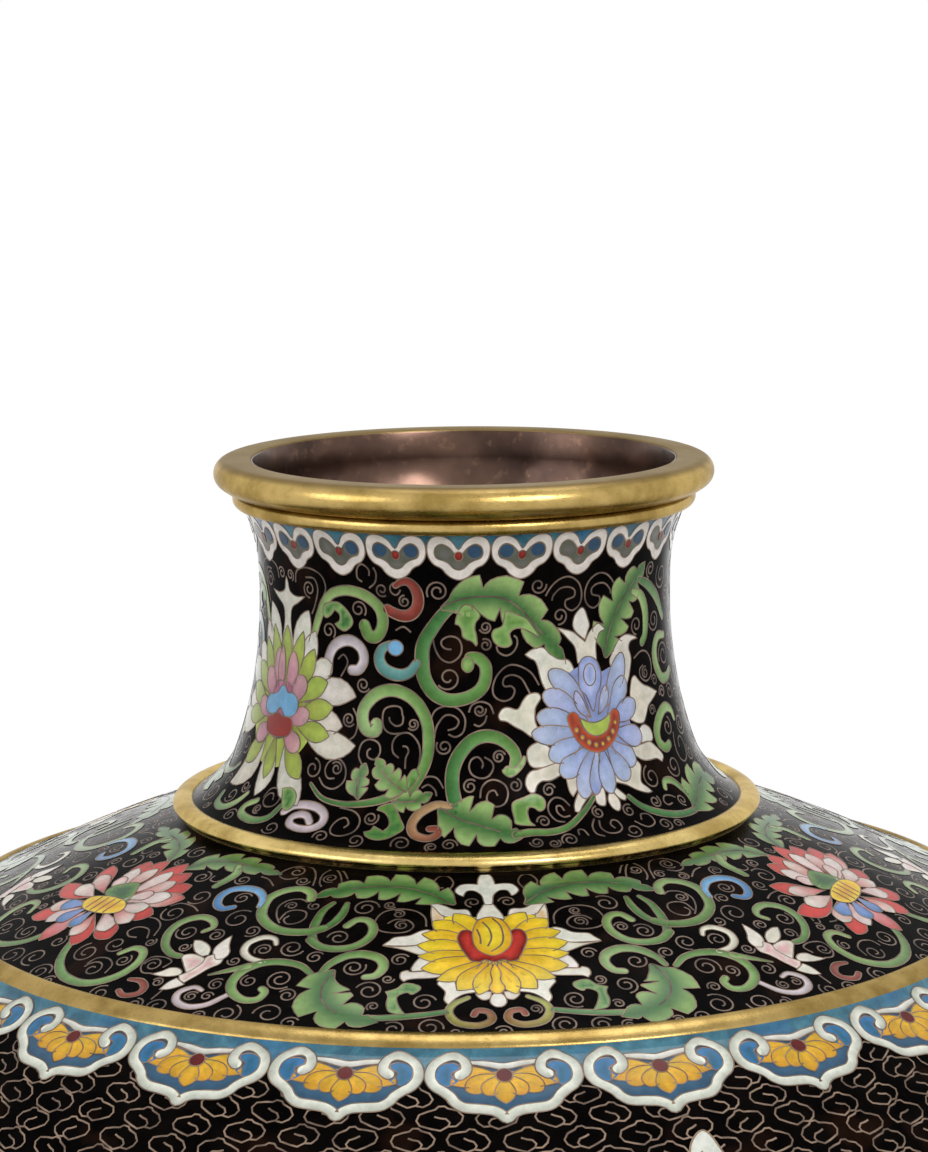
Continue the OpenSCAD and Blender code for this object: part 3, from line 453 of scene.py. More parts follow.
# The shoulder's greens are darker copies of mint and leaf: painted shade for the light it takes from above.
SHOULDER_HALF = """
F0 cream/peach | 10,12.8 11,11.2 12.1,9.8 12,12 11.5,15 11.1,16.6 10.5,15 
F0 white/cream | 6,12.8 6.6,11 8.6,10.9 10.2,9.9 12,9.2 12.7,9.3 11.6,10.6 10.2,12.6 8.8,12.7 7.6,13.5
 6.4,13.4
F0 white/white | 10.8,17 12,16.1 13.2,16.5 14.5,17.6 16.4,18.1 17,19 17.7,20.1 16,20.1 13.6,19.9 12.6,19.2
 11.4,18.4
F0 cream/white | 11,22 11.2,20.4 12.4,19.4 13.4,19.9 15.4,20.3 17.7,20.2 15,20.9 13,21.9 11.8,22.3
F0 white/white | 10.8,23.2 12.2,22.6 13,23.6 13.4,25.2 13.2,25.9 11.4,25.4 11,24.2
F0 cream/white | 9.4,26.4 11.4,25.8 13.3,26 13.8,25.7 14.5,26.2 14.5,27.4 14,28.2 13.2,27.6 10.4,27.2
F0 white/white | 7.8,27 8.4,26.4 9.4,27 10.1,28.4 9.6,29.4 9.1,30.4 9.2,32 8.7,33.1 8,31.8 7,30.8 5.6,30.4
 4.6,30.2 6.6,29.6 8,28.6
F0 cream/white | 4,30.4 5.4,30.2 5.7,31 5,32.1 4.2,31.8
P1 amber>yellow 3.4 | 4.4,17.4 6.4,14.8 8.6,12
P1 amber>yellow 3.6 | 4.6,18.4 8.6,16 11.6,14
P1 amber>yellow 3 | 4.8,19.2 9,17.8 12.8,17.2
P1 amber>yellow 3.6 | 4.8,20.2 9,20.2 13.2,19.8
P1 amber>yellow 2.8 | 4.8,21 9,22.2 12.8,22.4
P1 amber>yellow 3.8 | 4.6,21.8 8.4,24.2 12.2,25.2
P1 amber>yellow 3 | 4.4,22.6 7.2,25.8 10.2,27.8
P1 amber>yellow 3.8 | 4,23.2 5.8,26.8 7.8,30
P1 amber>yellow 3 | 3.6,23.6 4.6,27.4 5.4,31
B0 yellow/yellow | 3.3,12.9 5,13 6.4,12.8 7.6,13.3 9,12.6 9.9,13 10.5,14.6 10.7,16.4 11.7,17.2 12,18.4
 11.3,19.4 11.4,20.8 11.2,22 11.4,23.6 11.7,25 10.6,26 8.6,26.2 7.8,27 8,28.4 6.6,29.5 5.2,29.9 4.2,29.2
 3.9,30.5 3.3,30.8
A0 sage/green 7 6 | 8.8,9.8 12,7.2 16,5.6 20.4,5.2 24.8,6 28.6,7.6 31.4,9.8
S0 fern>green 1.2 | 25.4,10.4 25.2,12.6 25.6,15 26.6,17 28,18.4
S0 fern>green 1.2 | 27.6,10.6 28.4,12.6 28.4,15.4 28,18 27.2,20 25.6,21.6
S1 sage>fern 1.2,1.4,1.4 | 23.6,16 22.6,14.4 21,14.4 19.8,16 19.8,18.4 21.2,20.6 23.4,21.6 25.8,21.4
 27.6,20
S0 sage>fern 1.4,1.6,1.6 | 31.6,10.2 32.4,8.6 34.6,7.8 37,8.8 38.4,10.8 38.2,13.2 37,15.8 34.6,17.8
 32,18.6 28.8,18.2 26.8,17
S0 sky>blue 1.4 | 38.8,13.6 39.4,11.6 41.4,10 44,9.8 46.2,10.8 46.8,12.8 45.8,14.8 44.2,15.6 42.8,14.8
S0 cream>cream 1.1 | 31.8,21.8 32.6,20.6 34.2,20.6 35.6,22.2 35.4,24.2 34,25.6 32,26
S0 fern>sage 1.4 | 25.2,27.6 27,26 29.6,25.6 32,26.4 33.6,28.4 34,31 33.2,33.2 31.4,34.6 29.8,34.2
 29.4,32.6 30,31.8
S0 sage>fern 1.4,.9,.3 | 33.4,27.4 35.6,29 37.4,30.4
S0 fern>sage 1.5 | 24,27 23.4,25 21.8,23 19.6,22.4 17.6,23.2 16.8,25 17.4,27 18.6,27.5
A1 sage/green 8.2 4 | 22.4,26.6 23.2,30 22.4,33.4 19.8,36 15.8,37.4
S0 green>fern 1,1.3,1.3 | 8.8,34.6 12,35.6 16,36.4 19,36.6
F1 sage/green | 12.2,29 13.8,28.6 14.6,29.8 15.8,30.6 15.4,31.6 15.4,33.4 14.8,35 13.2,35.4 14,33.6
 14.4,31.6 13.4,30.6 12.8,31 12,30
S0 olive>brick 1.2 | 6.6,31.6 8.2,33 8.6,35 7.6,37.2 5.6,37.8 4.2,36.6 4.4,34.8 5.6,34.4 6,35.4
F0 white/white | 38.8,21.2 39.3,22.6 39.6,24.4 39.2,25.8 38.4,26.8 37.6,27.4 37.1,26 37.2,24.8 38,23.4
F0 white/cream | 40,25 41,24 42.4,23.5 43.3,23.7 42.8,24.8 41.8,26 40.4,26.7 39.6,26.2
F0 white/cream | 41.1,30.6 42,30.1 43,30.4 43.6,31.4 44.6,32.4 43,32.4 41.8,32 41,31.4
F0 white/white | 40,32.8 41,32.2 41.6,33.4 41.8,35.2 40.8,34.8 40,34 39.4,33.2
F0 white/pink | 39.6,27.2 41.4,26.6 42.6,27 43,27.6 42,28.8 41.2,29.8 40.4,30.8 39.6,29.8 39.2,28.4
F1 white/pink | 37.2,26.6 38.2,26.9 38.9,25.9 39.6,26.8 39.5,28.4 40.2,30.4 41,31.6 40.4,32.5 39.6,32.9
 38.8,31 38,29 37.2,27.8
W0 | 28.2,5.8 29.4,3.6 31,1.8 32.4,1.6 33.2,3.2 32.6,5.4 31.6,6.6
W0 | 28,3.8 29.6,2 31,1.2
W0 | 33.2,6.6 34.2,4 36,2 38.2,1.6 40.2,2.4 41.2,4 40.6,5.4 38.8,5.8 37.2,5
W0 | 40,8 42,6.6 44,6.2
W0 | 31.8,11 33.2,10.4 35,11 35.8,12.8 35,15 33.6,16.8
W0 | 34,16 33.8,14 32.6,13.2 31,13.4 30.4,14.8 31,16.2 32.4,16.8 33.4,15.8 33,14.8
W0 | 49.8,24.6 50.6,22.2 52.6,21 55,21.4
W0 | 50.4,25.4 51.6,23.6 53.6,23.6 54.4,25 53.4,26 52,25.8
W0 | 47.6,17.2 49.4,16.4 51.8,16.4 53,17.6
W0 | 44,30.6 43.6,29 45,28.4 46.8,29 47,31 46,32.4 44.6,32.2
W0 | 50.6,34.4 50.9,32.4 52.4,31.4 54,32 54.4,33.6
W0 | 50,8.6 51,9.8 52.4,9.6 52.6,8.4
W0 | 12.4,15.2 12.8,13 14.4,11.4 17,11 19.2,12 19.9,14.4 19,16.4 17,17 15,16.6 14.2,15.2 15.2,13.8 17,13.7
 18,14.8
W0 | 9.6,5.6 9,3.6 10,1.8 11.6,1.8 12.4,3.4 11.8,5 10.6,5
W0 | 41.4,35 41.6,37.6
S0 sage>fern 1.3 | 43.4,21.4 42.6,20 43.8,18.6 46,18.4 48,20.2 48.2,23 46.8,25.8 44.8,27.4 43.2,27.6
S0 lilac>lilac 1.1 | 36.8,33.8 38,33.4 39.2,35 38.6,37 36.8,37.8 35,36.8 33.8,34.6 33.2,33.4
S0 brick>brick 1.1 | 46.6,34.4 45,34.2 43.8,35.4 43.8,37 45.2,38 46.4,37.2
A0 sage/green 5 5 | 60.6,9.2 57.6,5.6 53,4.2 47.6,4.2 40.6,4.8
S0 sage>fern 1.5 | 50.8,4.8 49.2,6.8 49.4,9 49.8,10.8
S0 sage>fern 1.5 | 51.6,29.8 50.4,28 48.6,28.4 47.8,31 48.6,34.4 50.6,37 53,37.8 56,37 58.8,34.4 60.4,31
 60.8,29
"""
BULB = """
M1 white/cream | 3.3,9.4 4,9.7 4.5,10.8 5.1,12.2 5.4,13.6 4.4,13.4 3.3,13.4
M2 white/white | 3.3,1.3 4.2,1.6 4.7,3 4.8,4.3 6.2,4.1 7.6,4.3 8.4,5.2 8.6,6.2 8,7.1 7.2,7.6 7,6.8 6.6,6.1
 5.6,6 4.8,6.6 4.2,7.6 3.9,9.6 3.3,9.8
M1 white/white | 3.3,30.6 4,31.3 4.2,32.6 3.8,33.5 3.3,33.7
M2 amber/yellow | 3.3,24 3.9,26 3.8,28 4.2,29.4 3.9,30.4 3.3,30.9
M2 dark/scarlet | 3.3,20 4.6,20 5.4,19 5.4,17.4 6.4,16.2 7.4,16.3 7.9,17.4 7.9,18.8 7.5,20.2 7,21.6
 6.6,22.6 6.2,23.4 5.2,23.7 4.4,23.3 3.3,23.8
F3 amber/yellow | .8,16 1.6,13.8 3.3,13 5,13.9 5.8,16 5.9,18.6 5.3,20.6 3.8,22.2 2.6,22.2 1.2,20.8 .7,18.6
W3 | 3.6,13.4 4.6,15.2 4.8,18 4.3,20 3,21.4
W3 | 2.1,14.2 3,16 3.2,18.2 2.6,20.2
W3 | 1.3,16 1.7,18 1.7,19.6
"""
RED_LOTUS = """
P0 scarlet>scarlet 4.2 | -1,19 -4.4,14 -6.4,10.4
P0 scarlet>scarlet 4.2 | -1,19 -2.6,13 -2.4,8.6
P0 scarlet>scarlet 4.4 | 0,19 1.6,12.6 2,7.6
P0 scarlet>scarlet 4.4 | 0,19 4,13.6 5.8,9.4
P0 scarlet>scarlet 4.2 | 1,19.6 6.4,15.2 9.2,12
P0 white>scarlet 4 | 2,20 7,17.2 11,15.2
P0 scarlet>scarlet 3.8 | 2,21 6.4,21 9.4,20.4
P0 scarlet>scarlet 4 | 1,23 5,26 7.6,27.6
P0 scarlet>scarlet 3.8 | 0,24 2.4,28 3.4,31.4
P0 pink>scarlet 3.8 | -2,24 -2.6,28.6 -2.4,33
P0 scarlet>scarlet 4 | -4,23 -7.4,27.4 -10,30
P0 scarlet>scarlet 4 | -5,21.6 -10,22.6 -14.4,22.2
P0 scarlet>scarlet 3.8 | -4,20 -8.8,17.6 -12.4,14.8
P1 pink>white 3.3 | -1.6,19 -4.4,15.4 -6,12.6
P1 scarlet>white 3.3 | -1,19 -2,14.4 -1.8,11
P1 pink>white 3.3 | 0,19 1.6,14 1.8,10.4
P1 scarlet>white 3.3 | 1,19 4,15 5.4,12.2
P1 pink>white 3.3 | 1.6,20 5.6,17.2 8.4,15.6
P1 scarlet>white 3.2 | -4,20 -8,18.4 -10.8,17.4
P1 pink>white 3.4 | -4.6,21.4 -8.4,21.2 -11,21
P1 scarlet>white 3.4 | -4.4,22.4 -7.6,25.2 -9.4,27
P1 pink>white 3.2 | -3.6,23.6 -5.4,27 -6,29.6
P1 scarlet>white 3.2 | 0,24 1,27.4 1,29.8
P1 pink>white 3.3 | 1.4,23 4,25 5.6,26.6
P1 scarlet>white 3.2 | 1.6,21.6 5.2,22.6 7.4,23.4
P1 pink>white 3 | 1.6,20.6 5,20.2 7,18.8
P2 lavender>blue 3 | -3.6,23 -6.4,24.6 -8,25.6
P2 lavender>blue 3 | -2.6,23.4 -3.8,26.6 -4.4,28.6
P2 lavender>blue 2.8 | -1,23.4 -1,26.4 -.6,28.4
P2 white>pink 2.6 | -2.4,19.6 -4.4,17 -6,15.6
P2 white>pink 2.6 | 1,19.6 3.4,17.4 5,16.4
F2 leaf/deep | -4.2,19.6 -4.4,17.6 -2.6,16 -.8,15.2 .8,16.6 2,18.6 2.2,20 -1,20.6
F3 yellow/amber | -5.1,21.6 -3.3,20.4 -.9,19.7 1.7,19.6 3.3,20.6 3.5,22 2.1,23.2 -.6,24 -3.3,24.2
 -4.9,23.2
W3 | -3.2,20.6 -3,24
W3 | -1.8,20.2 -1.7,24
W3 | -.4,19.9 -.3,23.8
W3 | 1,19.8 1,23.4
"""
# Borders. Angles are relative to the middle of one head, lappet or petal.
RUYI = """
F0 white/white | 0,3.3 .6,2.9 1.2,2.2 2.2,1.5 3.6,1 5.4,.9 7,1.4 7.9,2.5 8,3.8 7.5,4.9 6.3,5.8 5,6.2
 4.1,6.6 3.2,7.3 1.8,7.9 0,8.2 -1.8,7.9 -3.2,7.3 -4.1,6.6 -5,6.2 -6.3,5.8 -7.5,4.9 -8,3.8 -7.9,2.5 -7,1.4
 -5.4,.9 -3.6,1 -2.2,1.5 -1.2,2.2 -.6,2.9
F1 moss/smoke | 0,4.3 .9,4 1.9,3.2 3,2.6 4.4,2.3 5.7,2.8 6.2,3.8 5.6,4.7 3.9,5.1 2.5,5.6 1.4,6.3 0,6.6
 -1.4,6.3 -2.5,5.6 -3.9,5.1 -5.6,4.7 -6.2,3.8 -5.7,2.8 -4.4,2.3 -3,2.6 -1.9,3.2 -.9,4
E3 dark/red | 0,4.35 1.1,.75
"""
RUYI_EYE = """
E3 steel/steel | 4.1,3.6 1.8,1.05
"""
LAPPET = """
F0 steel/azure | -3.1,2.9 -4.4,2.2 -5.8,2 -6.7,2.9 -7,4.2 -6.9,5.6 -6.4,6.8 -5.6,7.7 -4.9,8.6 -4.4,9.6
 -3.7,10.4 -2.4,10.7 -1.3,10.9 -.5,11.5 0,12.2 .5,11.5 1.3,10.9 2.4,10.7 3.7,10.4 4.4,9.6 4.9,8.6 5.6,7.7
 6.4,6.8 6.9,5.6 7,4.2 6.7,2.9 5.8,2 4.4,2.2 3.1,2.9 0,3.6
B1 saffron/marigold | -3.3,4.5 -1.4,4.2 1.4,4.2 3.3,4.5 4,5.4 4.1,6.2 3.2,6.9 2.2,7.4 1.1,7.7 0,8 -1.1,7.7
 -2.2,7.4 -3.2,6.9 -4.1,6.2 -4,5.4
P1 marigold>saffron 3.8 | -.6,4.7 -2.8,4.9 -5,6.5
P1 marigold>saffron 3.8 | .6,4.7 2.8,4.9 5,6.5
R1 marigold>saffron 3.2 | -.5,4.8 -2,6 -3.5,7.7
R1 marigold>saffron 3.2 | .5,4.8 2,6 3.5,7.7
R1 marigold>saffron 2.7 | -.3,4.8 -1.1,6.6 -1.8,8.3
R1 marigold>saffron 2.7 | .3,4.8 1.1,6.6 1.8,8.3
P1 marigold>saffron 3 | 0,4.8 0,7.4 0,9.8
E3 dark/dark | 0,4.9 .8,1.2
S2 ivory/ivory 1.8,1.35,1.5,1.6,1.5,1.6,1.55,1.6,1.5,1.6,1.5,1.35,1.8 | -4.1,4.8 -3.6,4.1 -3.55,3 -3.9,1.9
 -4.75,1.35 -5.8,1.8 -6.6,2.9 -6.9,4.2 -6.85,5.6 -6.4,6.8 -5.6,7.7 -4.95,8.6 -4.5,9.6 -3.7,10.4 -2.4,10.65
 -1.3,10.9 -.55,11.5 0,12.3 .55,11.5 1.3,10.9 2.4,10.65 3.7,10.4 4.5,9.6 4.95,8.6 5.6,7.7 6.4,6.8 6.85,5.6
 6.9,4.2 6.6,2.9 5.8,1.8 4.75,1.35 3.9,1.9 3.55,3 3.6,4.1 4.1,4.8
S1 ivory/ivory 1.1 | -3.2,2.4 -1.7,2.7 0,3.2 1.7,2.7 3.2,2.4
"""
LAPPET_SIDE = """
F1 blue/turquoise | 4.9,4.4 4.3,3.8 4.1,3 4.9,2.5 5.8,2.8 6.3,3.6 6.5,5 6.2,6.3 5.5,6.9 4.7,6.4 4.2,5.8
 4.8,5.2
"""
PETAL = """
F0 turquoise/blue | -5,16 -5.3,11 -5,7 -4,4.6 -2,3 0,1.4 2,3 4,4.6 5,7 5.3,11 5,16
F1 scarlet/pink | -2.4,15.6 -2.8,12 -2.2,9.4 0,7.4 2.2,9.4 2.8,12 2.4,15.6
E2 amber/yellow | 0,12.4 1.2,1.8
S1 white/white 1.3 | -4.6,15.8 -4.9,11 -4.6,7 -3.6,4.9 -1.8,3.4 0,1.9 1.8,3.4 3.6,4.9 4.6,7 4.9,11
 4.6,15.8
"""
# Scroll beside a lotus of the body, in mm from the lotus's middle.
BODY_SCROLL = """
S0 green>leaf 2,2.6,2.4,2.2 | 4,27 15,36 31,37 44,28 49,14 43,3 33,3 27,10 31,18 38,17
S0 leaf>mint 2,2.4,2 | 49,17 58,7 61,-6 56,-16 47,-18 41,-12 43,-5 49,-5
S0 brick>scarlet 1.8,2.2,1.8 | 46,27 54,26 59,31 57,38 50,38 48,33
A0 mint/green 15 5 | 15,36 24,40 33,41 44,37
A0 mint/green 15 5 | 48,11 54,17 61,20 70,18
W0 | 33,10 36,7 40,9 41,14 38,22 30,25 22,22 20,15
W0 | 8,33 10,40 16,43 20,42 19,38 16,38
W0 | 54,32 52,30 53,35 56,34
"""
# One cloud-shaped wire, in mm across and down.
CLOUD = ("-.7,-.3 0,0 .8,.2 1.25,.8 1,1.35 -.1,1.9 -1.3,1.5 -2.7,.9 -3.1,.1 -2.7,-.8 "
         "-1.5,-1.2 -.5,-1.4 0,-1.85 .8,-1.8 1.2,-1.4 2.4,-.95 3.1,0 2.8,.8 2,1.45 1.1,1.4")

# ---- reading the motifs ----


def points(text):
    return np.array([[float(v) for v in pair.split(",")] for pair in text.split()])


def bend(a, b, c, k):
    """How far the line turns at b, in degrees, with the angle axis scaled to mm by k."""
    u, v = (b - a) * (k, 1), (c - b) * (k, 1)
    lu, lv = np.linalg.norm(u), np.linalg.norm(v)
    if lu < 1e-9 or lv < 1e-9:
        return 0.0
    return math.degrees(math.acos(max(-1.0, min(1.0, float(u @ v) / (lu * lv)))))


def smooth(p, closed, k, n, corner):
    """The points joined by a smooth line, n steps each, that keeps its sharp corners."""
    m = len(p)
    q = []
    last = m if closed else m - 1
    sharp = [True] * m
    for i in range(m) if closed else range(1, m - 1):
        sharp[i] = bend(p[i - 1], p[i], p[(i + 1) % m], k) > corner
    for i in range(last):
        b, c = p[i], p[(i + 1) % m]
        a = b - (c - b) * 0.4 if sharp[i] else p[i - 1]
        d = c + (c - b) * 0.4 if sharp[(i + 1) % m] else p[(i + 2) % m]
        for j in range(n):
            t = j / n
            q.append(0.5 * (2 * b + (c - a) * t + (2 * a - 5 * b + 4 * c - d) * t * t
                            + (3 * b - a - 3 * c + d) * t**3))
    if not closed:
        q.append(p[-1])
    return np.array(q)


def stroke_outline(line, widths, band):
    """The outline of a brush-like stroke along a line, with rounded ends."""
    k = band.per_degree(line[:, 1])[:, None] * np.array([1, 0]) + np.array([0, 1])
    tangent = np.gradient(line, axis=0) * k
    tangent /= np.linalg.norm(tangent, axis=1)[:, None]
    side = np.stack([-tangent[:, 1], tangent[:, 0]], -1)
    run = np.concatenate([[0], np.cumsum(np.linalg.norm(np.diff(line, axis=0) * k[1:], axis=1))])
    half = np.interp(run / run[-1], np.linspace(0, 1, len(widths)), widths) / 2
    left, right = line + side * half[:, None] / k, line - side * half[:, None] / k

    def cap(i, sign):
        out = []
        for a in (-60, -30, 0, 30, 60):
            w = math.radians(a)
            way = sign * (tangent[i] * math.cos(w) - side[i] * math.sin(w))
            out.append(line[i] + way * half[i] / k[i])
        return out

    return np.array(list(left) + cap(-1, 1) + list(right[::-1]) + cap(0, -1)), line


class Cell:
    """One enamel cell: its outline, depth and two colours."""

    def __init__(self, kind, depth, colours, outline, spine=None):
        self.kind, self.depth, self.outline, self.spine = kind, depth, outline, spine
        self.edge, self.core = (PALETTE[c] for c in colours)
        self.slot = SLOT_OF.get(colours[0], "enamel_slate")


def petal_outline(p, width, band, pointed):
    """A petal from its base to its tip, through a middle point if there is one."""
    k = np.array([float(band.per_degree(p[:, 1].mean())), 1.0])
    q = p * k
    middle = q[1] if len(q) > 2 else (q[0] + q[-1]) / 2
    t = ((1 - np.cos(np.linspace(0, math.pi, 12))) / 2)[:, None]
    control = 2 * middle - (q[0] + q[-1]) / 2
    spine = (1 - t) ** 2 * q[0] + 2 * t * (1 - t) * control + t**2 * q[-1]
    along = np.gradient(spine, axis=0)
    along /= np.linalg.norm(along, axis=1)[:, None]
    side = np.stack([-along[:, 1], along[:, 0]], -1)
    half = width / 2 * np.sin(math.pi * t ** (1.4 if pointed else 1.6)) ** (0.85 if pointed else 0.55)
    half[-1] = 0
    outline = np.vstack([spine + side * half, (spine - side * half)[-2:0:-1]])
    return outline / k, spine / k


def leaf_outline(p, width, lobes, band):
    """A lobed leaf along its midrib, with its lobes leaning towards the tip."""
    k = np.array([float(band.per_degree(p[:, 1].mean())), 1.0])
    rib = smooth(p, False, k[0], 6, LINE_CORNER) * k
    run = np.concatenate([[0], np.cumsum(np.linalg.norm(np.diff(rib, axis=0), axis=1))])
    along = np.gradient(rib, axis=0)
    along /= np.linalg.norm(along, axis=1)[:, None]

    def spot(u, reach, sign):
        at = [np.interp(min(u, 1) * run[-1], run, column) for column in (*rib.T, *along.T)]
        half = sign * reach * width / 2 * math.sin(math.pi * min(max(u, 0.04), 0.985) ** 0.75) ** 0.7
        return at[0] - at[3] * half, at[1] + at[2] * half

    sides = []
    for sign, start in ((1, 0.0), (-1, 0.35)):
        side = []
        for i in range(lobes):
            for step, reach in LOBE:
                u = (i + start + step) / lobes
                if u < 0.97:
                    side.append(spot(u, reach, sign))
        sides.append(side)
    outline = np.array([rib[0], *sides[0], rib[-1], *sides[1][::-1]])
    return outline / k, rib / k


def read_motif(text, band, shift=(0.0, 0.0), mirror=None, fit=None, detail=4, over=0.0, squeeze=1.0):
    """Cells and wires of a motif. Mirror turns it over about that angle first. Fit is the motif's middle,
    its mm per degree, its new scale and its new middle, for a motif moved to another band. Detail is the
    number of steps from point to point, over lifts it, in mm, and squeeze narrows it."""
    cells, lines = [], []
    used = [0] * len(LAYERS)
    for row in text.strip().replace("\n ", " ").splitlines():
        head, body = row.split("|")
        words = head.split()
        kind, layer = words[0][0], int(words[0][1])
        colours = words[1].replace(">", "/").split("/") if len(words) > 1 else ()
        scale = fit[2] if fit else 1.0
        p = points(body)
        if kind == "E":
            (cx, cy), (rx, ry) = p
            w = np.radians(np.arange(0, 360, 20))
            p = np.stack([cx + rx * np.cos(w), cy + ry * np.sin(w)], -1)
        if kind == "M":
            other = p[-2:0:-1].copy()
            other[:, 0] = 2 * p[0, 0] - other[:, 0]
            p, kind = np.vstack([p, other]), "F"
        p[:, 0] *= squeeze
        if mirror is not None:
            p[:, 0] = 2 * mirror - p[:, 0]
        p = p + np.array(shift)
        if fit:
            (cx, cy), k_from, _, (az, s) = fit
            p[:, 1] = s + (p[:, 1] - cy) * scale
            p[:, 0] = az + (p[:, 0] - cx) * k_from * scale / band.per_degree(p[:, 1])
        k = float(band.per_degree(p[:, 1].mean()))
        depth = LAYERS[layer] + over + STEP * (used[layer] % STEP_CYCLE)
        used[layer] += kind != "W"
        if kind == "W":
            height = (depth if layer else GROUND) + WIRE_OVER
            lines.append((smooth(p, False, k, detail, LINE_CORNER), height, False))
            continue
        if kind in "PR":
            outline, spine = petal_outline(p, float(words[2]) * scale, band, kind == "P")
            cells.append(Cell(kind, depth, colours, outline, spine))
        elif kind == "A":
            outline, spine = leaf_outline(p, float(words[2]) * scale, int(words[3]), band)
            outline = smooth(outline, True, k, 2, LEAF_CORNER)
            cells.append(Cell(kind, depth, colours, outline, spine))
            lines.append((spine[: len(spine) * 3 // 4], depth + WIRE_OVER, False))
        elif kind == "S":
            widths = [float(v) * scale for v in words[2].split(",")]
            if len(widths) == 1:
                widths = [w * widths[0] for w in STROKE_SWELL]
            outline, spine = stroke_outline(smooth(p, False, k, detail, LINE_CORNER), widths, band)
            cells.append(Cell(kind, depth, colours, outline, spine))
        else:
            outline = p if kind == "E" else smooth(p, True, k, detail, CELL_CORNER)
            cells.append(Cell(kind, depth, colours, outline))
        if kind != "B":
            lines.append((outline, depth + WIRE_OVER, True))
    return cells, lines


# ---- modelling helpers ----


def deselect():
    if bpy.context.mode != "OBJECT":
        bpy.ops.object.mode_set(mode="OBJECT")
    bpy.ops.object.select_all(action="DESELECT")


def mode(name):
    bpy.ops.object.mode_set(mode=name)


def activate(o):
    deselect()
    o.select_set(True)
    bpy.context.view_layer.objects.active = o


def lathe(name, profile):
    """A closed section, in (radius, height) mm, spun round the vase's axis."""
    deselect()
    bpy.ops.mesh.primitive_circle_add(vertices=len(profile), radius=0.01, location=(0, 0, 0))
    o = bpy.context.object
    o.name = o.data.name = name
    for v, (r, z) in zip(o.data.vertices, profile):
        v.co = (r * MM, 0, z * MM)
    mode("EDIT")
    bpy.ops.mesh.select_all(action="SELECT")
    bpy.ops.mesh.spin(steps=LATHE_STEPS, angle=2 * math.pi, center=(0, 0, 0), axis=(0, 0, 1))
    bpy.ops.mesh.select_all(action="SELECT")
    bpy.ops.mesh.remove_doubles(threshold=1e-7)
    bpy.ops.mesh.normals_make_consistent(inside=False)
    mode("OBJECT")
    bpy.ops.object.shade_smooth_by_angle(angle=math.radians(LATHE_SMOOTH))
    return o


def dress(o, key):
    o.data.materials.clear()
    o.data.materials.append(look(key))


def finish_piece(o, key, slot, *stands_for):
    dress(o, key)
    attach(o, "root")
    if stands_for:
        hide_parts(*stands_for)
    return o


def new_mesh(name, verts, faces):
    mesh = bpy.data.meshes.new(name)
    mesh.from_pydata(verts, [], faces)
    o = bpy.data.objects.new(name, mesh)
    bpy.context.collection.objects.link(o)
    return o


def smoothstep(x):
    x = np.clip(x, 0, 1)
    return x * x * (3 - 2 * x)


def distance_to_line(q, line, closed):
    """Least distance from each point of q to a line of points, how far along that is, and on which side."""
    a = line if closed else line[:-1]
    b = np.roll(line, -1, axis=0) if closed else line[1:]
    d = b - a
    best = np.full(len(q), 1e9)
    along = np.zeros(len(q))
    side = np.zeros(len(q))
    for i in range(len(a)):
        ll = d[i] @ d[i]
        t = np.clip(((q - a[i]) @ d[i]) / ll, 0, 1) if ll > 0 else np.zeros(len(q))
        e = np.linalg.norm(q - a[i] - t[:, None] * d[i], axis=1)
        near = e < best
        best[near] = e[near]
        along[near] = (i + t[near]) / len(a)
        side[near] = np.sign(d[i][0] * (q[near, 1] - a[i][1]) - d[i][1] * (q[near, 0] - a[i][0]))
    return best, along, side


def inside(q, outline):
    """Which points of q lie within a closed outline."""
    a, b = outline, np.roll(outline, -1, axis=0)
    x, y = q[:, :1], q[:, 1:]
    crosses = (a[:, 1] > y) != (b[:, 1] > y)
    rise = np.where(b[:, 1] == a[:, 1], 1.0, b[:, 1] - a[:, 1])
    return np.sum(crosses & (x < (b[:, 0] - a[:, 0]) * (y - a[:, 1]) / rise + a[:, 0]), axis=1) % 2 == 1


def covered(q, outlines, period):
    """Which points of q lie within any of these outlines or their copies one period away."""
    hidden = np.zeros(len(q), bool)
    for outline in outlines:
        low, high = outline.min(0), outline.max(0)
        for shift in (-period, 0, period):
            p = q + (shift, 0)
            near = ~hidden & np.all((p > low) & (p < high), axis=1)
            if near.any():
                hidden[near] = inside(p[near], outline)
    return hidden


def show_wires(cells, lines, period):
    """The lines without the stretches that lie under a higher cell."""
    shown = []
    for line, lift, closed in lines:
        above = [c.outline for c in cells if c.depth > lift - WIRE_OVER + 1e-7]
        hidden = covered(line, above, period)
        if not hidden.any():
            shown.append((line, lift, closed))
            continue
        if hidden.all():
            continue
        if closed:
            start = int(np.argmax(hidden))
            line, hidden = np.roll(line, -start, axis=0), np.roll(hidden, -start)
            line, hidden = np.vstack([line, line[:1]]), np.append(hidden, True)
        run = []
        for i, point in enumerate(line):
            if not hidden[i]:
                if not run and i:
                    run.append(line[i - 1])
                run.append(point)
            if run and (hidden[i] or i == len(line) - 1):
                if hidden[i]:
                    run.append(point)
                if len(run) > 2:
                    shown.append((np.array(run), lift, False))
                run = []
    return shown


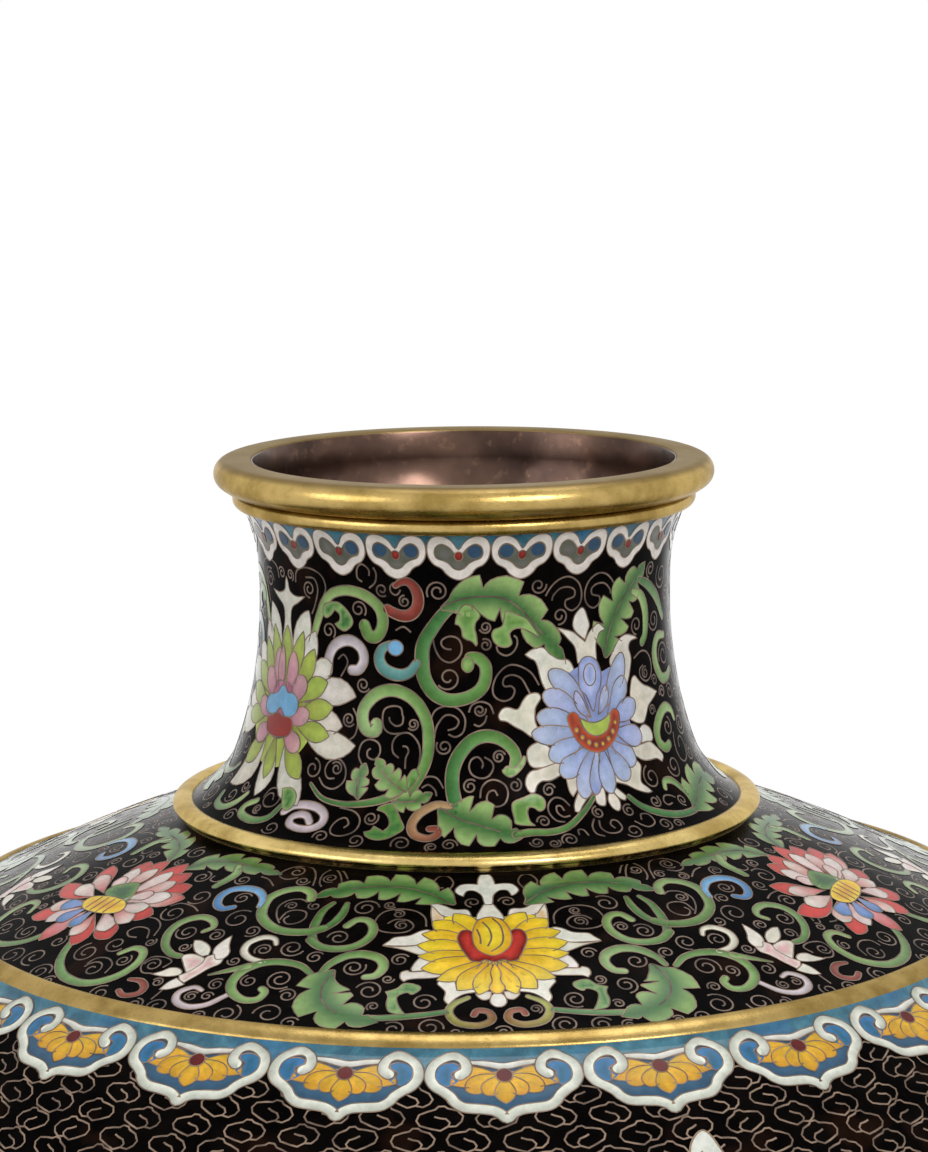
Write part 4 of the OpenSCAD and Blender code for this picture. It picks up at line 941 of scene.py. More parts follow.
def fill_curls(band, cells, lines, period, low, high, seed):
    """Small spirals of wire in the bare ground between the cells."""
    hand = random.Random(seed)
    az, s = np.meshgrid(np.arange(0, period, 0.9), np.arange(low, high, 0.55))
    spots = np.stack([az.ravel(), s.ravel()], -1)
    spots = spots[~covered(spots, [c.outline for c in cells], period)]
    k = band.per_degree(spots[:, 1])
    marks = np.vstack([c.outline for c in cells] + [line for line, _, _ in lines])
    room = np.minimum(spots[:, 1] - low, high - spots[:, 1]) + 0.6
    for mark in marks:
        away = (spots[:, 0] - mark[0] + period / 2) % period - period / 2
        room = np.minimum(room, np.hypot(away * k, spots[:, 1] - mark[1]))
    curls = []
    while room.max() > CURL_LEAST:
        i = int(np.argmax(room))
        radius = min(room[i] - CURL_GAP, CURL_MOST)
        sweep = np.linspace(0, hand.uniform(1.3, 1.65) * 2 * math.pi, CURL_POINTS)
        reach = radius * (1 - CURL_SHRINK * sweep / sweep[-1])
        turn = sweep * hand.choice((-1, 1)) + hand.uniform(0, 6.28)
        curl = np.stack([spots[i, 0] + reach * np.cos(turn) / k[i], spots[i, 1] + reach * np.sin(turn)], -1)
        curls.append((curl, GROUND + WIRE_OVER, False))
        away = (spots[:, 0] - spots[i, 0] + period / 2) % period - period / 2
        room = np.minimum(room, np.hypot(away * k, spots[:, 1] - spots[i, 1]) - radius)
    return curls


def glaze(c, q, k):
    """The colours of a cell at the points q, in mm, where the band has k mm per degree."""
    d = distance_to_line(q, c.outline * (k, 1), True)[0]
    t = smoothstep(d / max(d.max(), 0.3) * 1.25)[:, None]
    edge, core = np.array(linear(c.edge)), np.array(linear(c.core))
    if c.spine is None:
        return edge * (1 - t) + core * t
    far, u, side = distance_to_line(q, c.spine * (k, 1), False)
    if c.kind == "A":
        t = smoothstep(far / (0.8 * max(far.max(), 0.3)))[:, None]
        return core * 0.8 * (1 - t) + edge * t
    u = smoothstep(u)[:, None]
    base = edge * (1 - u) + core * u
    if c.kind in "PR":
        return base * (0.84 + 0.20 * t)
    course = np.diff(c.spine * (k, 1), axis=0)
    turning = np.sign(np.sum(course[:-1, 0] * course[1:, 1] - course[:-1, 1] * course[1:, 0]))
    lean = (turning * side * far / max(far.max(), 0.2))[:, None]
    return base * (0.98 + 0.34 * lean) + np.maximum(lean, 0) * STROKE_LIGHT


def cut_flat(name, cells, k, grid):
    """The cells laid out flat, k mm per degree, and cut on a grid: points, triangles and their cells."""
    verts, faces = [], []
    for c in cells:
        o = c.outline * (k, 1)
        area = 0.5 * np.sum(o[:, 0] * np.roll(o[:, 1], -1) - np.roll(o[:, 0], -1) * o[:, 1])
        if area > 0:
            o = o[::-1]
        faces.append(list(range(len(verts), len(verts) + len(o))))
        verts += [(x, y, 0) for x, y in o]
    flat = new_mesh(name, verts, faces)
    tag = flat.data.attributes.new("cell", "INT", "FACE")
    tag.data.foreach_set("value", list(range(len(cells))))
    activate(flat)
    mode("EDIT")
    lo, hi = np.min(verts, axis=0), np.max(verts, axis=0)
    for axis in (0, 1):
        for i in range(math.ceil(lo[axis] / grid), math.floor(hi[axis] / grid) + 1):
            bpy.ops.mesh.select_all(action="SELECT")
            where = [0, 0, 0]
            where[axis] = i * grid + CUT_SHIFT
            bpy.ops.mesh.bisect(plane_co=where, plane_no=(1 - axis, axis, 0), threshold=1e-6)
    bpy.ops.mesh.select_all(action="SELECT")
    bpy.ops.mesh.quads_convert_to_tris(quad_method="BEAUTY", ngon_method="BEAUTY")
    mode("OBJECT")
    mesh = flat.data
    co = np.zeros(len(mesh.vertices) * 3)
    mesh.vertices.foreach_get("co", co)
    co = co.reshape(-1, 3)
    tri = np.array([list(p.vertices) for p in mesh.polygons])
    cell = np.zeros(len(tri), int)
    mesh.attributes["cell"].data.foreach_get("value", cell)
    bpy.data.objects.remove(flat, do_unlink=True)
    return co, tri, cell


def enamel_cells(name, band, cells, turns, slot, grid=1.0):
    """Cells as thin sheets of enamel: laid out flat, cut on a grid of so many mm,
    coloured, then bent onto the vase at each of the turns. The slot is not used."""
    flat_k = float(band.per_degree(np.mean([c.outline[:, 1].mean() for c in cells])))
    co, tri, cell = cut_flat(name, cells, flat_k, grid)
    az, s = co[:, 0] / flat_k, co[:, 1]
    of_vertex = np.zeros(len(co), int)
    for j in range(3):
        of_vertex[tri[:, j]] = cell
    depth = np.array([c.depth for c in cells])[of_vertex]
    hand = random.Random(name)
    colour = np.ones((len(co), 4))
    for i, c in enumerate(cells):
        mine = np.nonzero(of_vertex == i)[0]
        if not len(mine):
            continue
        k = float(band.per_degree(c.outline[:, 1].mean()))
        rgb = glaze(c, np.stack([az[mine] * k, s[mine]], -1), k)
        shift = 1 + hand.uniform(-0.07, 0.07)
        cast = 1 + np.array([hand.uniform(-0.03, 0.03) for _ in range(3)])
        colour[mine, :3] = np.clip(rgb * shift * cast, 0, 1)
    spots = np.vstack([band.place(az + turn, s, depth) for turn in turns])
    tris = np.vstack([tri + j * len(co) for j in range(len(turns))])
    o = new_mesh(name, spots.tolist(), tris.tolist())
    paint = o.data.color_attributes.new("glaze", "FLOAT_COLOR", "POINT")
    paint.data.foreach_set("color", np.tile(colour, (len(turns), 1)).ravel())
    o.data.polygons.foreach_set("use_smooth", [True] * len(o.data.polygons))
    activate(o)
    wall = o.modifiers.new("wall", "SOLIDIFY")
    wall.thickness, wall.offset = SHEET_THICK * MM, -1
    bpy.ops.object.modifier_apply(modifier="wall")
    bpy.ops.object.shade_smooth_by_angle(angle=math.radians(SHEET_SMOOTH))
    return finish_piece(o, "enamel", slot)


def wires(name, band, lines, turns, key, width):
    """Wires as wedge-shaped strips, width in metres: each line is (points, height, closed)."""
    half = width / MM / 2
    verts, faces = [], []
    for turn in turns:
        for line, lift, closed in lines:
            n = len(line)
            if closed:
                tangent = np.roll(line, -1, axis=0) - np.roll(line, 1, axis=0)
            else:
                tangent = np.gradient(line, axis=0)
            k = band.per_degree(line[:, 1])[:, None] * np.array([1, 0]) + np.array([0, 1])
            tangent = tangent * k
            tangent /= np.maximum(np.linalg.norm(tangent, axis=1)[:, None], 1e-9)
            side = np.stack([-tangent[:, 1], tangent[:, 0]], -1) * half / k
            base = len(verts)
            for edge, h in ((line - side, lift), (line + side, lift), (line, lift - WIRE_DEEP)):
                verts.extend(band.place(edge[:, 0] + turn, edge[:, 1], h).tolist())
            a, b, c = base, base + n, base + 2 * n
            for i in range(n if closed else n - 1):
                j = (i + 1) % n
                faces += [(p + i, p + j, q + j, q + i) for p, q in ((a, b), (b, c), (c, a))]
            if not closed:
                faces += [(a, b, c), (a + n - 1, c + n - 1, b + n - 1)]
    return finish_piece(new_mesh(name, verts, faces), key, "copper_wire")


def by_slot(cells):
    groups = {}
    for c in cells:
        groups.setdefault(c.slot, []).append(c)
    return sorted(groups.items())


# ---- materials ----


class Wire:
    """A shader socket that takes part in Python expressions."""

    def __init__(self, sheet, socket):
        self.sheet, self.socket = sheet, socket

    def _math(self, operation, a, b):
        return self.sheet.node("ShaderNodeMath", {"operation": operation}, {0: a, 1: b})

    def __add__(self, other):
        return self._math("ADD", self, other)

    def __radd__(self, other):
        return self._math("ADD", other, self)

    def __sub__(self, other):
        return self._math("SUBTRACT", self, other)

    def __rsub__(self, other):
        return self._math("SUBTRACT", other, self)

    def __mul__(self, other):
        return self._math("MULTIPLY", self, other)

    def __rmul__(self, other):
        return self._math("MULTIPLY", other, self)

    def clamp(self):
        return self.sheet.node("ShaderNodeClamp", {}, {"Value": self})


class Sheet:
    """The node tree of one material or world, built from expressions."""

    def __init__(self, owner):
        owner.use_nodes = True
        self.tree = owner.node_tree
        self.tree.nodes.clear()

    def node(self, kind, settings=None, inputs=None, output=0):
        """A node of this type, with its settings made first and then its sockets' values or links."""
        n = self.tree.nodes.new(kind)
        for key, value in (settings or {}).items():
            setattr(n, key, value)
        for key, value in (inputs or {}).items():
            socket = n.inputs[key]
            if isinstance(value, Wire):
                self.tree.links.new(value.socket, socket)
            else:
                socket.default_value = value
        return Wire(self, n.outputs[output]) if len(n.outputs) else None

    def place(self, scale=(1, 1, 1)):
        """Object coordinates in millimetres."""
        co = self.node("ShaderNodeTexCoord", output="Object")
        return self.node("ShaderNodeMapping", {}, {"Vector": co, "Scale": tuple(1000 * s for s in scale)})

    def noise(self, where, scale, detail=3.0, roughness=0.5, distortion=0.0):
        inputs = {"Vector": where, "Scale": scale, "Detail": detail, "Roughness": roughness,
                  "Distortion": distortion}
        return self.node("ShaderNodeTexNoise", {}, inputs, "Fac")

    def voronoi(self, where, scale, feature):
        inputs = {"Vector": where, "Scale": scale}
        return self.node("ShaderNodeTexVoronoi", {"feature": feature}, inputs, "Distance")

    def ramp(self, value, low, high, a=0.0, b=1.0):
        return self.node("ShaderNodeMapRange", {"interpolation_type": "SMOOTHSTEP"},
                         {"Value": value, "From Min": low, "From Max": high, "To Min": a, "To Max": b})

    def mix(self, factor, a, b, blend="MIX"):
        a, b = (c if isinstance(c, Wire) else (*c, 1) for c in (a, b))
        settings = {"data_type": "RGBA", "blend_type": blend}
        return self.node("ShaderNodeMix", settings, {0: factor, 6: a, 7: b}, 2)

    def sheen(self):
        """The gloss that a polished surface takes where it turns away from the eye."""
        facing = self.node("ShaderNodeLayerWeight", {}, {"Blend": 0.5}, "Facing")
        return self.ramp(facing, SHEEN_FROM, SHEEN_TO) * SHEEN_MOST

    def looked_at(self):
        """1 for the rays that show the backdrop itself, 0 for those that carry its light."""
        rays = [self.node("ShaderNodeLightPath", output=name)
                for name in ("Is Camera Ray", "Is Glossy Ray", "Is Transmission Ray")]
        return (rays[0] + rays[1] + rays[2]).clamp()

    def bump(self, height, strength, distance):
        inputs = {"Height": height, "Strength": strength, "Distance": distance}
        return self.node("ShaderNodeBump", {}, inputs)

    def shade(self, **sockets):
        inputs = {key.replace("_", " "): value for key, value in sockets.items()}
        self.out(self.node("ShaderNodeBsdfPrincipled", {}, inputs))

    def out(self, shader):
        self.node("ShaderNodeOutputMaterial", {}, {"Surface": shader})


def material(name):
    m = bpy.data.materials.new(name)
    return m, Sheet(m)


def enamel_finish(t, where, colour, level, ior=1.5, wear=1.0, least=0.13):
    """Fired and polished enamel: cloudy colour, fine specks, a few pits and a soft gloss. Level is its plain
    reflection, wear the share of its specks and least its roughness where it is smoothest."""
    cloud = t.noise(where, 0.55, 4.0, 0.6)
    speck = t.noise(where, 3.4, 2.0, 0.7)
    tone = t.mix(t.ramp(cloud, 0.3, 0.72), (0.82, 0.84, 0.80), (1.08, 1.07, 1.05))
    colour = t.mix(1.0, colour, tone, "MULTIPLY")
    dust = t.ramp(speck, 0.60, 0.74) * 0.22 * wear
    colour = t.mix(dust, colour, (0.05, 0.045, 0.04))
    pit = 1 - t.ramp(t.voronoi(where, 0.42, "F1"), 0.045, 0.11)
    fine = t.noise(where, 1.1, 2.0, 0.5)
    height = fine * 0.35 - pit * 0.6
    rough = least + 0.10 * t.ramp(cloud, 0.35, 0.7) + 0.25 * pit
    t.shade(Base_Color=colour, Roughness=rough, Normal=t.bump(height, 0.22, 0.00006), IOR=ior,
            Specular_IOR_Level=level, Coat_Weight=t.sheen(), Coat_Roughness=SHEEN_ROUGH)


def make_materials():
    tints = bpy.context.scene.vase_tints
    found = {}
    m, t = material("fired_enamel")
    where = t.place()
    painted = t.node("ShaderNodeAttribute", {"attribute_name": "glaze"}, output="Color")
    enamel_finish(t, where, painted, 0.2)
    found["enamel"] = m

    m, t = material("black_enamel")
    where = t.place()
    base = t.mix(t.ramp(t.noise(where, 0.16, 3.0), 0.35, 0.7), tints.black, tints.black_cloud)
    base = t.mix(t.ramp(t.noise(where, 0.11, 2.0), 0.56, 0.70) * 0.5, base, RUST)
    enamel_finish(t, where, base, 0.01, ior=1.45, wear=0.4, least=0.23)
    found["black"] = m

    m, t = material("turquoise_enamel")
    where = t.place()
    wash = t.noise(where, 0.22, 4.0, 0.6, 0.6)
    base = t.mix(t.ramp(wash, 0.32, 0.7), tints.turquoise, tints.turquoise_cloud)
    base = t.mix(t.ramp(t.noise(where, 0.08, 2.0), 0.5, 0.66) * 0.6, base, BLUE_WASH)
    enamel_finish(t, where, base, 0.28)
    found["turquoise"] = m

    for key, name in (("wire", "cell_wire_copper"), ("curl", "curl_wire_copper")):
        m, t = material(name)
        where = t.place()
        tarnish = t.noise(where, 0.35, 3.0)
        base = t.mix(t.ramp(tarnish, 0.35, 0.68), getattr(tints, key), getattr(tints, key + "_tarnish"))
        t.shade(Base_Color=base, Roughness=0.42 + 0.16 * tarnish, Metallic=0.35,
                Normal=t.bump(t.noise(where, 4.0), 0.2, 0.00004), Coat_Weight=t.sheen(),
                Coat_Roughness=SHEEN_ROUGH)
        found[key] = m

    # The rings get their own copies of the gilding: painted light in the neck ring's colours, painted shade
    # in the shoulder ring's.
    for key in ("gilt", "neck_ring", "shoulder_ring"):
        m, t = material(key + "_brass")
        where = t.place()
        patch = t.noise(where, 0.10, 4.0, 0.62)
        fine = t.noise(t.place((1, 1, 3)), 1.4, 4.0, 0.7)
        base = t.mix(t.ramp(patch, 0.35, 0.68), getattr(tints, key), getattr(tints, key + "_worn"))
        base = t.mix(t.ramp(fine, 0.56, 0.76) * 0.55, base, GRIME)
        up = t.node("ShaderNodeSeparateXYZ", {}, {"Vector": where}, "Z")
        # Painted shade: the gilding darkens under the rim's roll and on top of the collar, where the roll
        # shades it.
        roll_shade = t.ramp(up, *ROLL_SHADE_LOW) * (1 - t.ramp(up, *ROLL_SHADE_HIGH))
        lip = t.ramp(up, *LIP)
        base = t.mix(roll_shade * 0.55, base, PAINTED_ROLL_SHADE)
        base = t.mix(lip * 0.85, base, LIP_WORN)
        scratch = t.noise(t.place((0.2, 0.2, 4)), 2.2, 2.0, 0.6)
        height = patch * 0.6 + fine * 0.25 + scratch * 0.15
        t.shade(Base_Color=base, Metallic=1.0, Roughness=0.13 + 0.16 * patch + 0.10 * fine + 0.12 * lip,
                Specular_Tint=GILT_SLANT, Normal=t.bump(height, 0.35, 0.00025))
        found[key] = m

    m, t = material("brown_copper")
    where = t.place()
    patch = t.noise(where, 0.05, 4.0, 0.6)
    hammer = t.voronoi(where, 0.16, "SMOOTH_F1")
    base = t.mix(t.ramp(patch, 0.32, 0.7), tints.copper, tints.copper_brown)
    base = t.mix(t.ramp(t.noise(where, 0.7, 3.0), 0.56, 0.72) * 0.2, base, COPPER_RUBBED)
    t.shade(Base_Color=base, Metallic=0.8, Roughness=0.17 + 0.13 * patch,
            Normal=t.bump(hammer, 0.35, 0.0006))
    found["copper"] = m
    return found


MATERIALS = {}


def look(name):
    if not MATERIALS:
        MATERIALS.update(make_materials())
    return MATERIALS[name]


# ---- pieces ----


def skin(name, band, s0, s1, n, node):
    """A ground of black enamel on part of a band, from just over the copper to just under the cells."""
    s = np.linspace(s0, s1, n)
    outer = list(zip(*band.at(s, GROUND + band.rise(s))))
    inner = list(zip(*band.at(np.linspace(s1, s0, n // 4), -COPPER_UNDER + GROUND_GAP)))
    finish_piece(lathe(name, outer + inner), "black", "enamel_black", node)


def strip(name, band, s0, s1, n, node):
    """The strip of turquoise enamel that a border lies on."""
    s = np.linspace(s0, s1, n)
    outer = list(zip(*band.at(s, GROUND + STRIP_OVER + band.rise(s))))
    inner = list(zip(*band.at(s[::-1], GROUND - STRIP_UNDER + band.rise(s[::-1]))))
    finish_piece(lathe(name, outer + inner), "turquoise", "enamel_turquoise", node)


def join(parts):
    """The cells and the wires of several motifs."""
    return [c for p in parts for c in p[0]], [w for p in parts for w in p[1]]


def turns_of(n, first=0):
    """The turns of a motif that stands n times round the vase."""
    return [first + i * 360 / n for i in range(n)]


def scroll(name, band, parts, times, zone, seed, sizes):
    """A scroll that comes back this many times round its band, with curls on its bare ground."""
    period, turns = 360 / times, turns_of(times)
    cells, lines = join(parts)
    for slot, group in by_slot(cells):
        enamel_cells(name + "_" + slot, band, group, turns, slot)
    outlines = show_wires(cells, [w for w in lines if w[2]], period)
    curls = show_wires(cells, [w for w in lines if not w[2]], period)
    curls += fill_curls(band, cells, lines, period, zone[0], band.length - zone[1], seed)
    wires(name + "_cell_wires", band, outlines, turns, "wire", sizes.wire_width)
    wires(name + "_curl_wires", band, curls, turns, "curl", sizes.curl_width)


def arc(mid, r, start, end, n):
    return [(mid[0] + r * math.cos(math.radians(a)), mid[1] + r * math.sin(math.radians(a)))
            for a in np.linspace(start, end, n)]


def length_setting(name, description, default):
    return bpy.props.FloatProperty(name=name, description=description, default=default, unit="LENGTH")


def count_setting(name, description, default):
    return bpy.props.IntProperty(name=name, description=description, default=default)


class VaseSizes(bpy.types.PropertyGroup):
    wire_width: length_setting("Wire width", "Width of the wire round a cell", 0.00019)
    curl_width: length_setting("Curl width", "Width of the wires that curl on the ground", 0.00028)
    cloud_pitch: length_setting("Cloud pitch", "Distance between cloud wires in a row", 0.0079)
    cloud_rows: length_setting("Cloud rows", "Distance between rows of cloud wires", 0.0035)
    ruyi_heads: count_setting("Ruyi heads", "Heads in the border under the rim", 22)
    lappets: count_setting("Lappets", "Lappets below the shoulder ring", 25)
    petals: count_setting("Petals", "Upright petals above the foot", 32)


def tint(name, description, rgb):
    return bpy.props.FloatVectorProperty(name=name, description=description, default=linear(rgb),
                                         subtype="COLOR", min=0, max=1)


class VaseTints(bpy.types.PropertyGroup):
    black: tint("Black", "Black enamel of the ground", (4, 3, 3))
    black_cloud: tint("Black, cloudy", "Cloudy patches in the black enamel", (12, 9, 8))
    turquoise: tint("Turquoise", "Turquoise enamel of the strips over the borders", (48, 94, 116))
    turquoise_cloud: tint("Turquoise, cloudy", "Cloudy patches in the turquoise enamel", (76, 132, 152))
    wire: tint("Cell wire", "Copper wire round the cells", (142, 119, 100))
    wire_tarnish: tint("Cell wire, tarnished", "Tarnish on the wire round the cells", (90, 73, 61))
    curl: tint("Curl wire", "Copper wire that curls on the ground", (116, 97, 84))
    curl_tarnish: tint("Curl wire, tarnished", "Tarnish on the curls", (72, 58, 50))
    gilt: tint("Gilding", "Gilt brass of the rim, collar and foot", (196, 168, 104))
    gilt_worn: tint("Gilding, worn", "Worn patches of the gilding", (148, 122, 64))
    # Painted light: the neck ring is the same gilt brass as the rim, made lighter to make up for the dark it
    # reflects.
    neck_ring: tint("Neck ring", "Gilding of the neck ring", (224, 198, 130))
    neck_ring_worn: tint("Neck ring, worn", "Worn patches of the neck ring", (172, 146, 84))
    # Painted shade: the shoulder ring is the same gilt brass as the rim, made darker.
    shoulder_ring: tint("Shoulder ring", "Gilding of the shoulder ring", (176, 150, 92))
    shoulder_ring_worn: tint("Shoulder ring, worn", "Worn patches of the shoulder ring", (130, 106, 56))
    copper: tint("Copper", "Bare copper inside the mouth", (100, 76, 64))
    copper_brown: tint("Copper, browned", "Browned patches of the copper", (56, 40, 34))


# The two rings: name, band above, node, and in mm the distance up from the joint, half width, height and
# lift of the bead.
RINGS = (("gilt_neck_ring", NECK_BAND, "neck_ring", 0.0, 1.7, 1.0, 1.55),
         ("gilt_shoulder_ring", SHOULDER_BAND, "shoulder_ring", 1.6, 1.75, 0.65, 0.12))


class VASE_OT_metalwork(bpy.types.Operator):
    """Turn the rolled rim, its collar, the two rings and the foot ring"""

    bl_idname = "vase.metalwork"
    bl_label = "Gilt metalwork"

    def execute(self, context):
        rim = [(33.85, 294.95), (33.85, RIM_TOP - 0.35), (34.0, RIM_TOP - 0.12), (34.4, RIM_TOP)]
        rim += arc((37.6, RIM_TOP - ROLL_RADIUS), ROLL_RADIUS, 90, -62, 22)
        rim += [(38.0, 295.2), (37.4, 294.95)]
        finish_piece(lathe("gilt_rim", rim), "gilt", "gilt_brass", "mouth_rim")
        collar = [(35.0, 292.4), (35.4, 292.4)]
        collar += arc((35.7, 293.65), 1.25, -84, 84, 14)
        collar += [(35.4, 294.9), (35.0, 294.9)]
        finish_piece(lathe("gilt_collar", collar), "gilt", "gilt_brass", "rim_collar")
        for name, above, node, up, wide, high, lift in RINGS:
            end = above.length - up
            n = (np.interp(end, above.s, above.nr), np.interp(end, above.s, above.nz))
            along = (n[1], -n[0])

            def spot(across, out):
                r, z = above.at(end)
                return r + across * along[0] + out * n[0], z + across * along[1] + out * n[1]

            root = [spot(-BEAD_SEAT, -0.02), spot(-BEAD_SEAT, -COPPER_UNDER)]
            root += [spot(BEAD_SEAT, -COPPER_UNDER), spot(BEAD_SEAT, -0.02)]
            turn = np.radians(np.linspace(-50, 230, 26))
            bead = [spot(wide * math.cos(w), lift + high * math.sin(w)) for w in turn]
            finish_piece(lathe(name, root + bead), node, "gilt_brass", node)
        foot = [(61.0, 0.35), (61.3, 0.05), (61.7, 0.0), (64.6, 0.0)]
        turn = np.radians(np.linspace(-80, 80, 12))
        foot += [(65.2 + 0.8 * math.cos(w), 1.5 + 1.5 * math.sin(w)) for w in turn]
        foot += [(62.6 + 1.8 * (1 - t) ** 2, 3 + 11 * t) for t in np.linspace(0.02, 1, 12)]
        foot += [(58.5, 14.0), (58.5, 12.4)]
        finish_piece(lathe("gilt_foot_ring", foot), "gilt", "gilt_brass", "foot_ring")
        return {"FINISHED"}


class VASE_OT_copper(bpy.types.Operator):
    """Turn the copper neck and finish the other copper and the base"""

    bl_idname = "vase.copper"
    bl_label = "Copper body"

    def execute(self, context):
        s = np.linspace(0, NECK_BAND.length, 89)
        outer = [(35.0, 294.9)] + list(zip(*NECK_BAND.at(s[::4], -COPPER_UNDER)))
        inner = zip(*NECK_BAND.at(s[::-1], -COPPER_UNDER - COPPER_T))
        inner = [(r, z) for r, z in inner if r < 32.4 or z < 270]
        inner += [(33.1, 292.2), (33.5, 295.4), (33.62, 299.55), (33.7, 299.72), (33.84, 299.72)]
        inner += [(33.84, 295.0), (34.9, 294.98)]
        finish_piece(lathe("copper_neck", outer + inner), "copper", "copper", "neck_shell")
        for node in ("shoulder_shell", "upper_body_shell", "lower_body_shell", "foot_shell", "base_plate"):
            dress(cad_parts[node], "copper")
        dress(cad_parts["base_enamel"], "turquoise")
        return {"FINISHED"}


class VASE_OT_grounds(bpy.types.Operator):
    """Lay the black enamel grounds of neck, shoulder and body"""

    bl_idname = "vase.grounds"
    bl_label = "Black grounds"

    def execute(self, context):
        neck, shoulder, body = NECK_BAND, SHOULDER_BAND, BODY_BAND
        skin("neck_ground", neck, 0, neck.length - BEAD_SEAT, 96, "neck_enamel")
        skin("shoulder_ground", shoulder, BEAD_SEAT, shoulder.length - SHOULDER_STOP, 54, "shoulder_enamel")
        skin("body_ground", body, BODY_START, body.length, 160, "belly_enamel")
        return {"FINISHED"}


class VASE_OT_neck_scroll(bpy.types.Operator):
    """Draw the lotus scroll round the neck"""

    bl_idname = "vase.neck_scroll"
    bl_label = "Neck scroll"

    def execute(self, context):
        band = NECK_BAND
        parts = [
            read_motif(NECK_SCROLL, band),
            read_motif(NECK_LEFT, band, over=NEXT_OVER),
            read_motif(NECK_FAR, band, mirror=NECK_MIRROR, over=2 * NEXT_OVER),
            read_motif(BLUE_LOTUS, band, over=FLOWER_OVER),
            read_motif(PINK_LOTUS_RIGHT, band, over=FLOWER_OVER),
            read_motif(PINK_LOTUS_RIGHT, band, mirror=NECK_MIRROR, over=FLOWER_OVER + 2 * NEXT_OVER),
            read_motif(PINK_LOTUS_MID, band, over=FLOWER_OVER + 4 * NEXT_OVER),
        ]
        scroll("neck", band, parts, NECK_TIMES, NECK_ZONE, NECK_SEED, context.scene.vase_sizes)
        return {"FINISHED"}


class VASE_OT_shoulder_scroll(bpy.types.Operator):
    """Draw the lotus scroll round the shoulder"""

    bl_idname = "vase.shoulder_scroll"
    bl_label = "Shoulder scroll"

    def execute(self, context):
        band = SHOULDER_BAND
        between = SHOULDER_MIDDLE + 180 / SHOULDER_TIMES
        parts = [
            read_motif(SHOULDER_HALF, band),
            read_motif(SHOULDER_HALF, band, mirror=SHOULDER_MIDDLE, over=NEXT_OVER),
            read_motif(BULB, band, over=FLOWER_OVER),
            read_motif(RED_LOTUS, band, shift=(between, 0), over=FLOWER_OVER),
        ]
        sizes = context.scene.vase_sizes
        scroll("shoulder", band, parts, SHOULDER_TIMES, SHOULDER_ZONE, SHOULDER_SEED, sizes)
        return {"FINISHED"}


class VASE_OT_ruyi_border(bpy.types.Operator):
    """Set the border of ruyi heads under the rim"""

    bl_idname = "vase.ruyi_border"
    bl_label = "Ruyi border"

    def execute(self, context):
        sizes = context.scene.vase_sizes
        band = NECK_BAND
        strip("ruyi_band", band, 0, RUYI_STRIP, 8, "ruyi_ground")
        turns = turns_of(sizes.ruyi_heads, RUYI_FIRST)
        cells, lines = read_motif(RUYI, band)
        groups = dict(by_slot(cells))
        heads = groups.pop("enamel_white")
        white = enamel_cells("ruyi_white_heads", band, heads, turns, "enamel_white", grid=2.0)
        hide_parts("ruyi_whites")
        rest = [c for g in groups.values() for c in g]
        fill = enamel_cells("ruyi_hearts", band, rest, turns, "enamel_slate", grid=2.0)
        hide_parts("ruyi_fills")
        right, _ = read_motif(RUYI_EYE, band)
        left, _ = read_motif(RUYI_EYE, band, mirror=0)
        enamel_cells("ruyi_right_eyes", band, right, turns, "enamel_slate", grid=2.0)
        enamel_cells("ruyi_left_eyes", band, left, turns[1::2], "enamel_slate", grid=2.0)
        o = wires("ruyi_cell_wires", band, lines, turns, "wire", sizes.wire_width)
        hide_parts("ruyi_wires")
        return {"FINISHED"}


class VASE_OT_lappet_border(bpy.types.Operator):
    """Set the border of lappets below the shoulder ring"""

    bl_idname = "vase.lappet_border"
    bl_label = "Lappet border"

    def execute(self, context):
        sizes = context.scene.vase_sizes
        band = BODY_BAND
        strip("lappet_band", band, 0, LAPPET_STRIP, 18, "lappet_ground")
        turns = turns_of(sizes.lappets, LAPPET_FIRST)
        cells, lines = join([
            read_motif(LAPPET, band, squeeze=LAPPET_SQUEEZE),
            read_motif(LAPPET_SIDE, band, squeeze=LAPPET_SQUEEZE),
            read_motif(LAPPET_SIDE, band, mirror=0, squeeze=LAPPET_SQUEEZE),
        ])
        lines = show_wires(cells, lines, 360)
        groups = dict(by_slot(cells))
        edges = groups.pop("enamel_white")
        white = enamel_cells("lappet_white_edges", band, edges, turns, "enamel_white", grid=2.0)
        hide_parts("lappet_whites")
        petals = groups.pop("enamel_yellow")
        flowers = enamel_cells("lappet_flowers", band, petals, turns, "enamel_yellow", grid=1.5)
        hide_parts("lappet_fills")
        rest = [c for g in groups.values() for c in g]
        enamel_cells("lappet_fields", band, rest, turns, "enamel_turquoise", grid=2.0)
        o = wires("lappet_cell_wires", band, lines, turns, "wire", sizes.wire_width)
        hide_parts("lappet_wires")
        return {"FINISHED"}


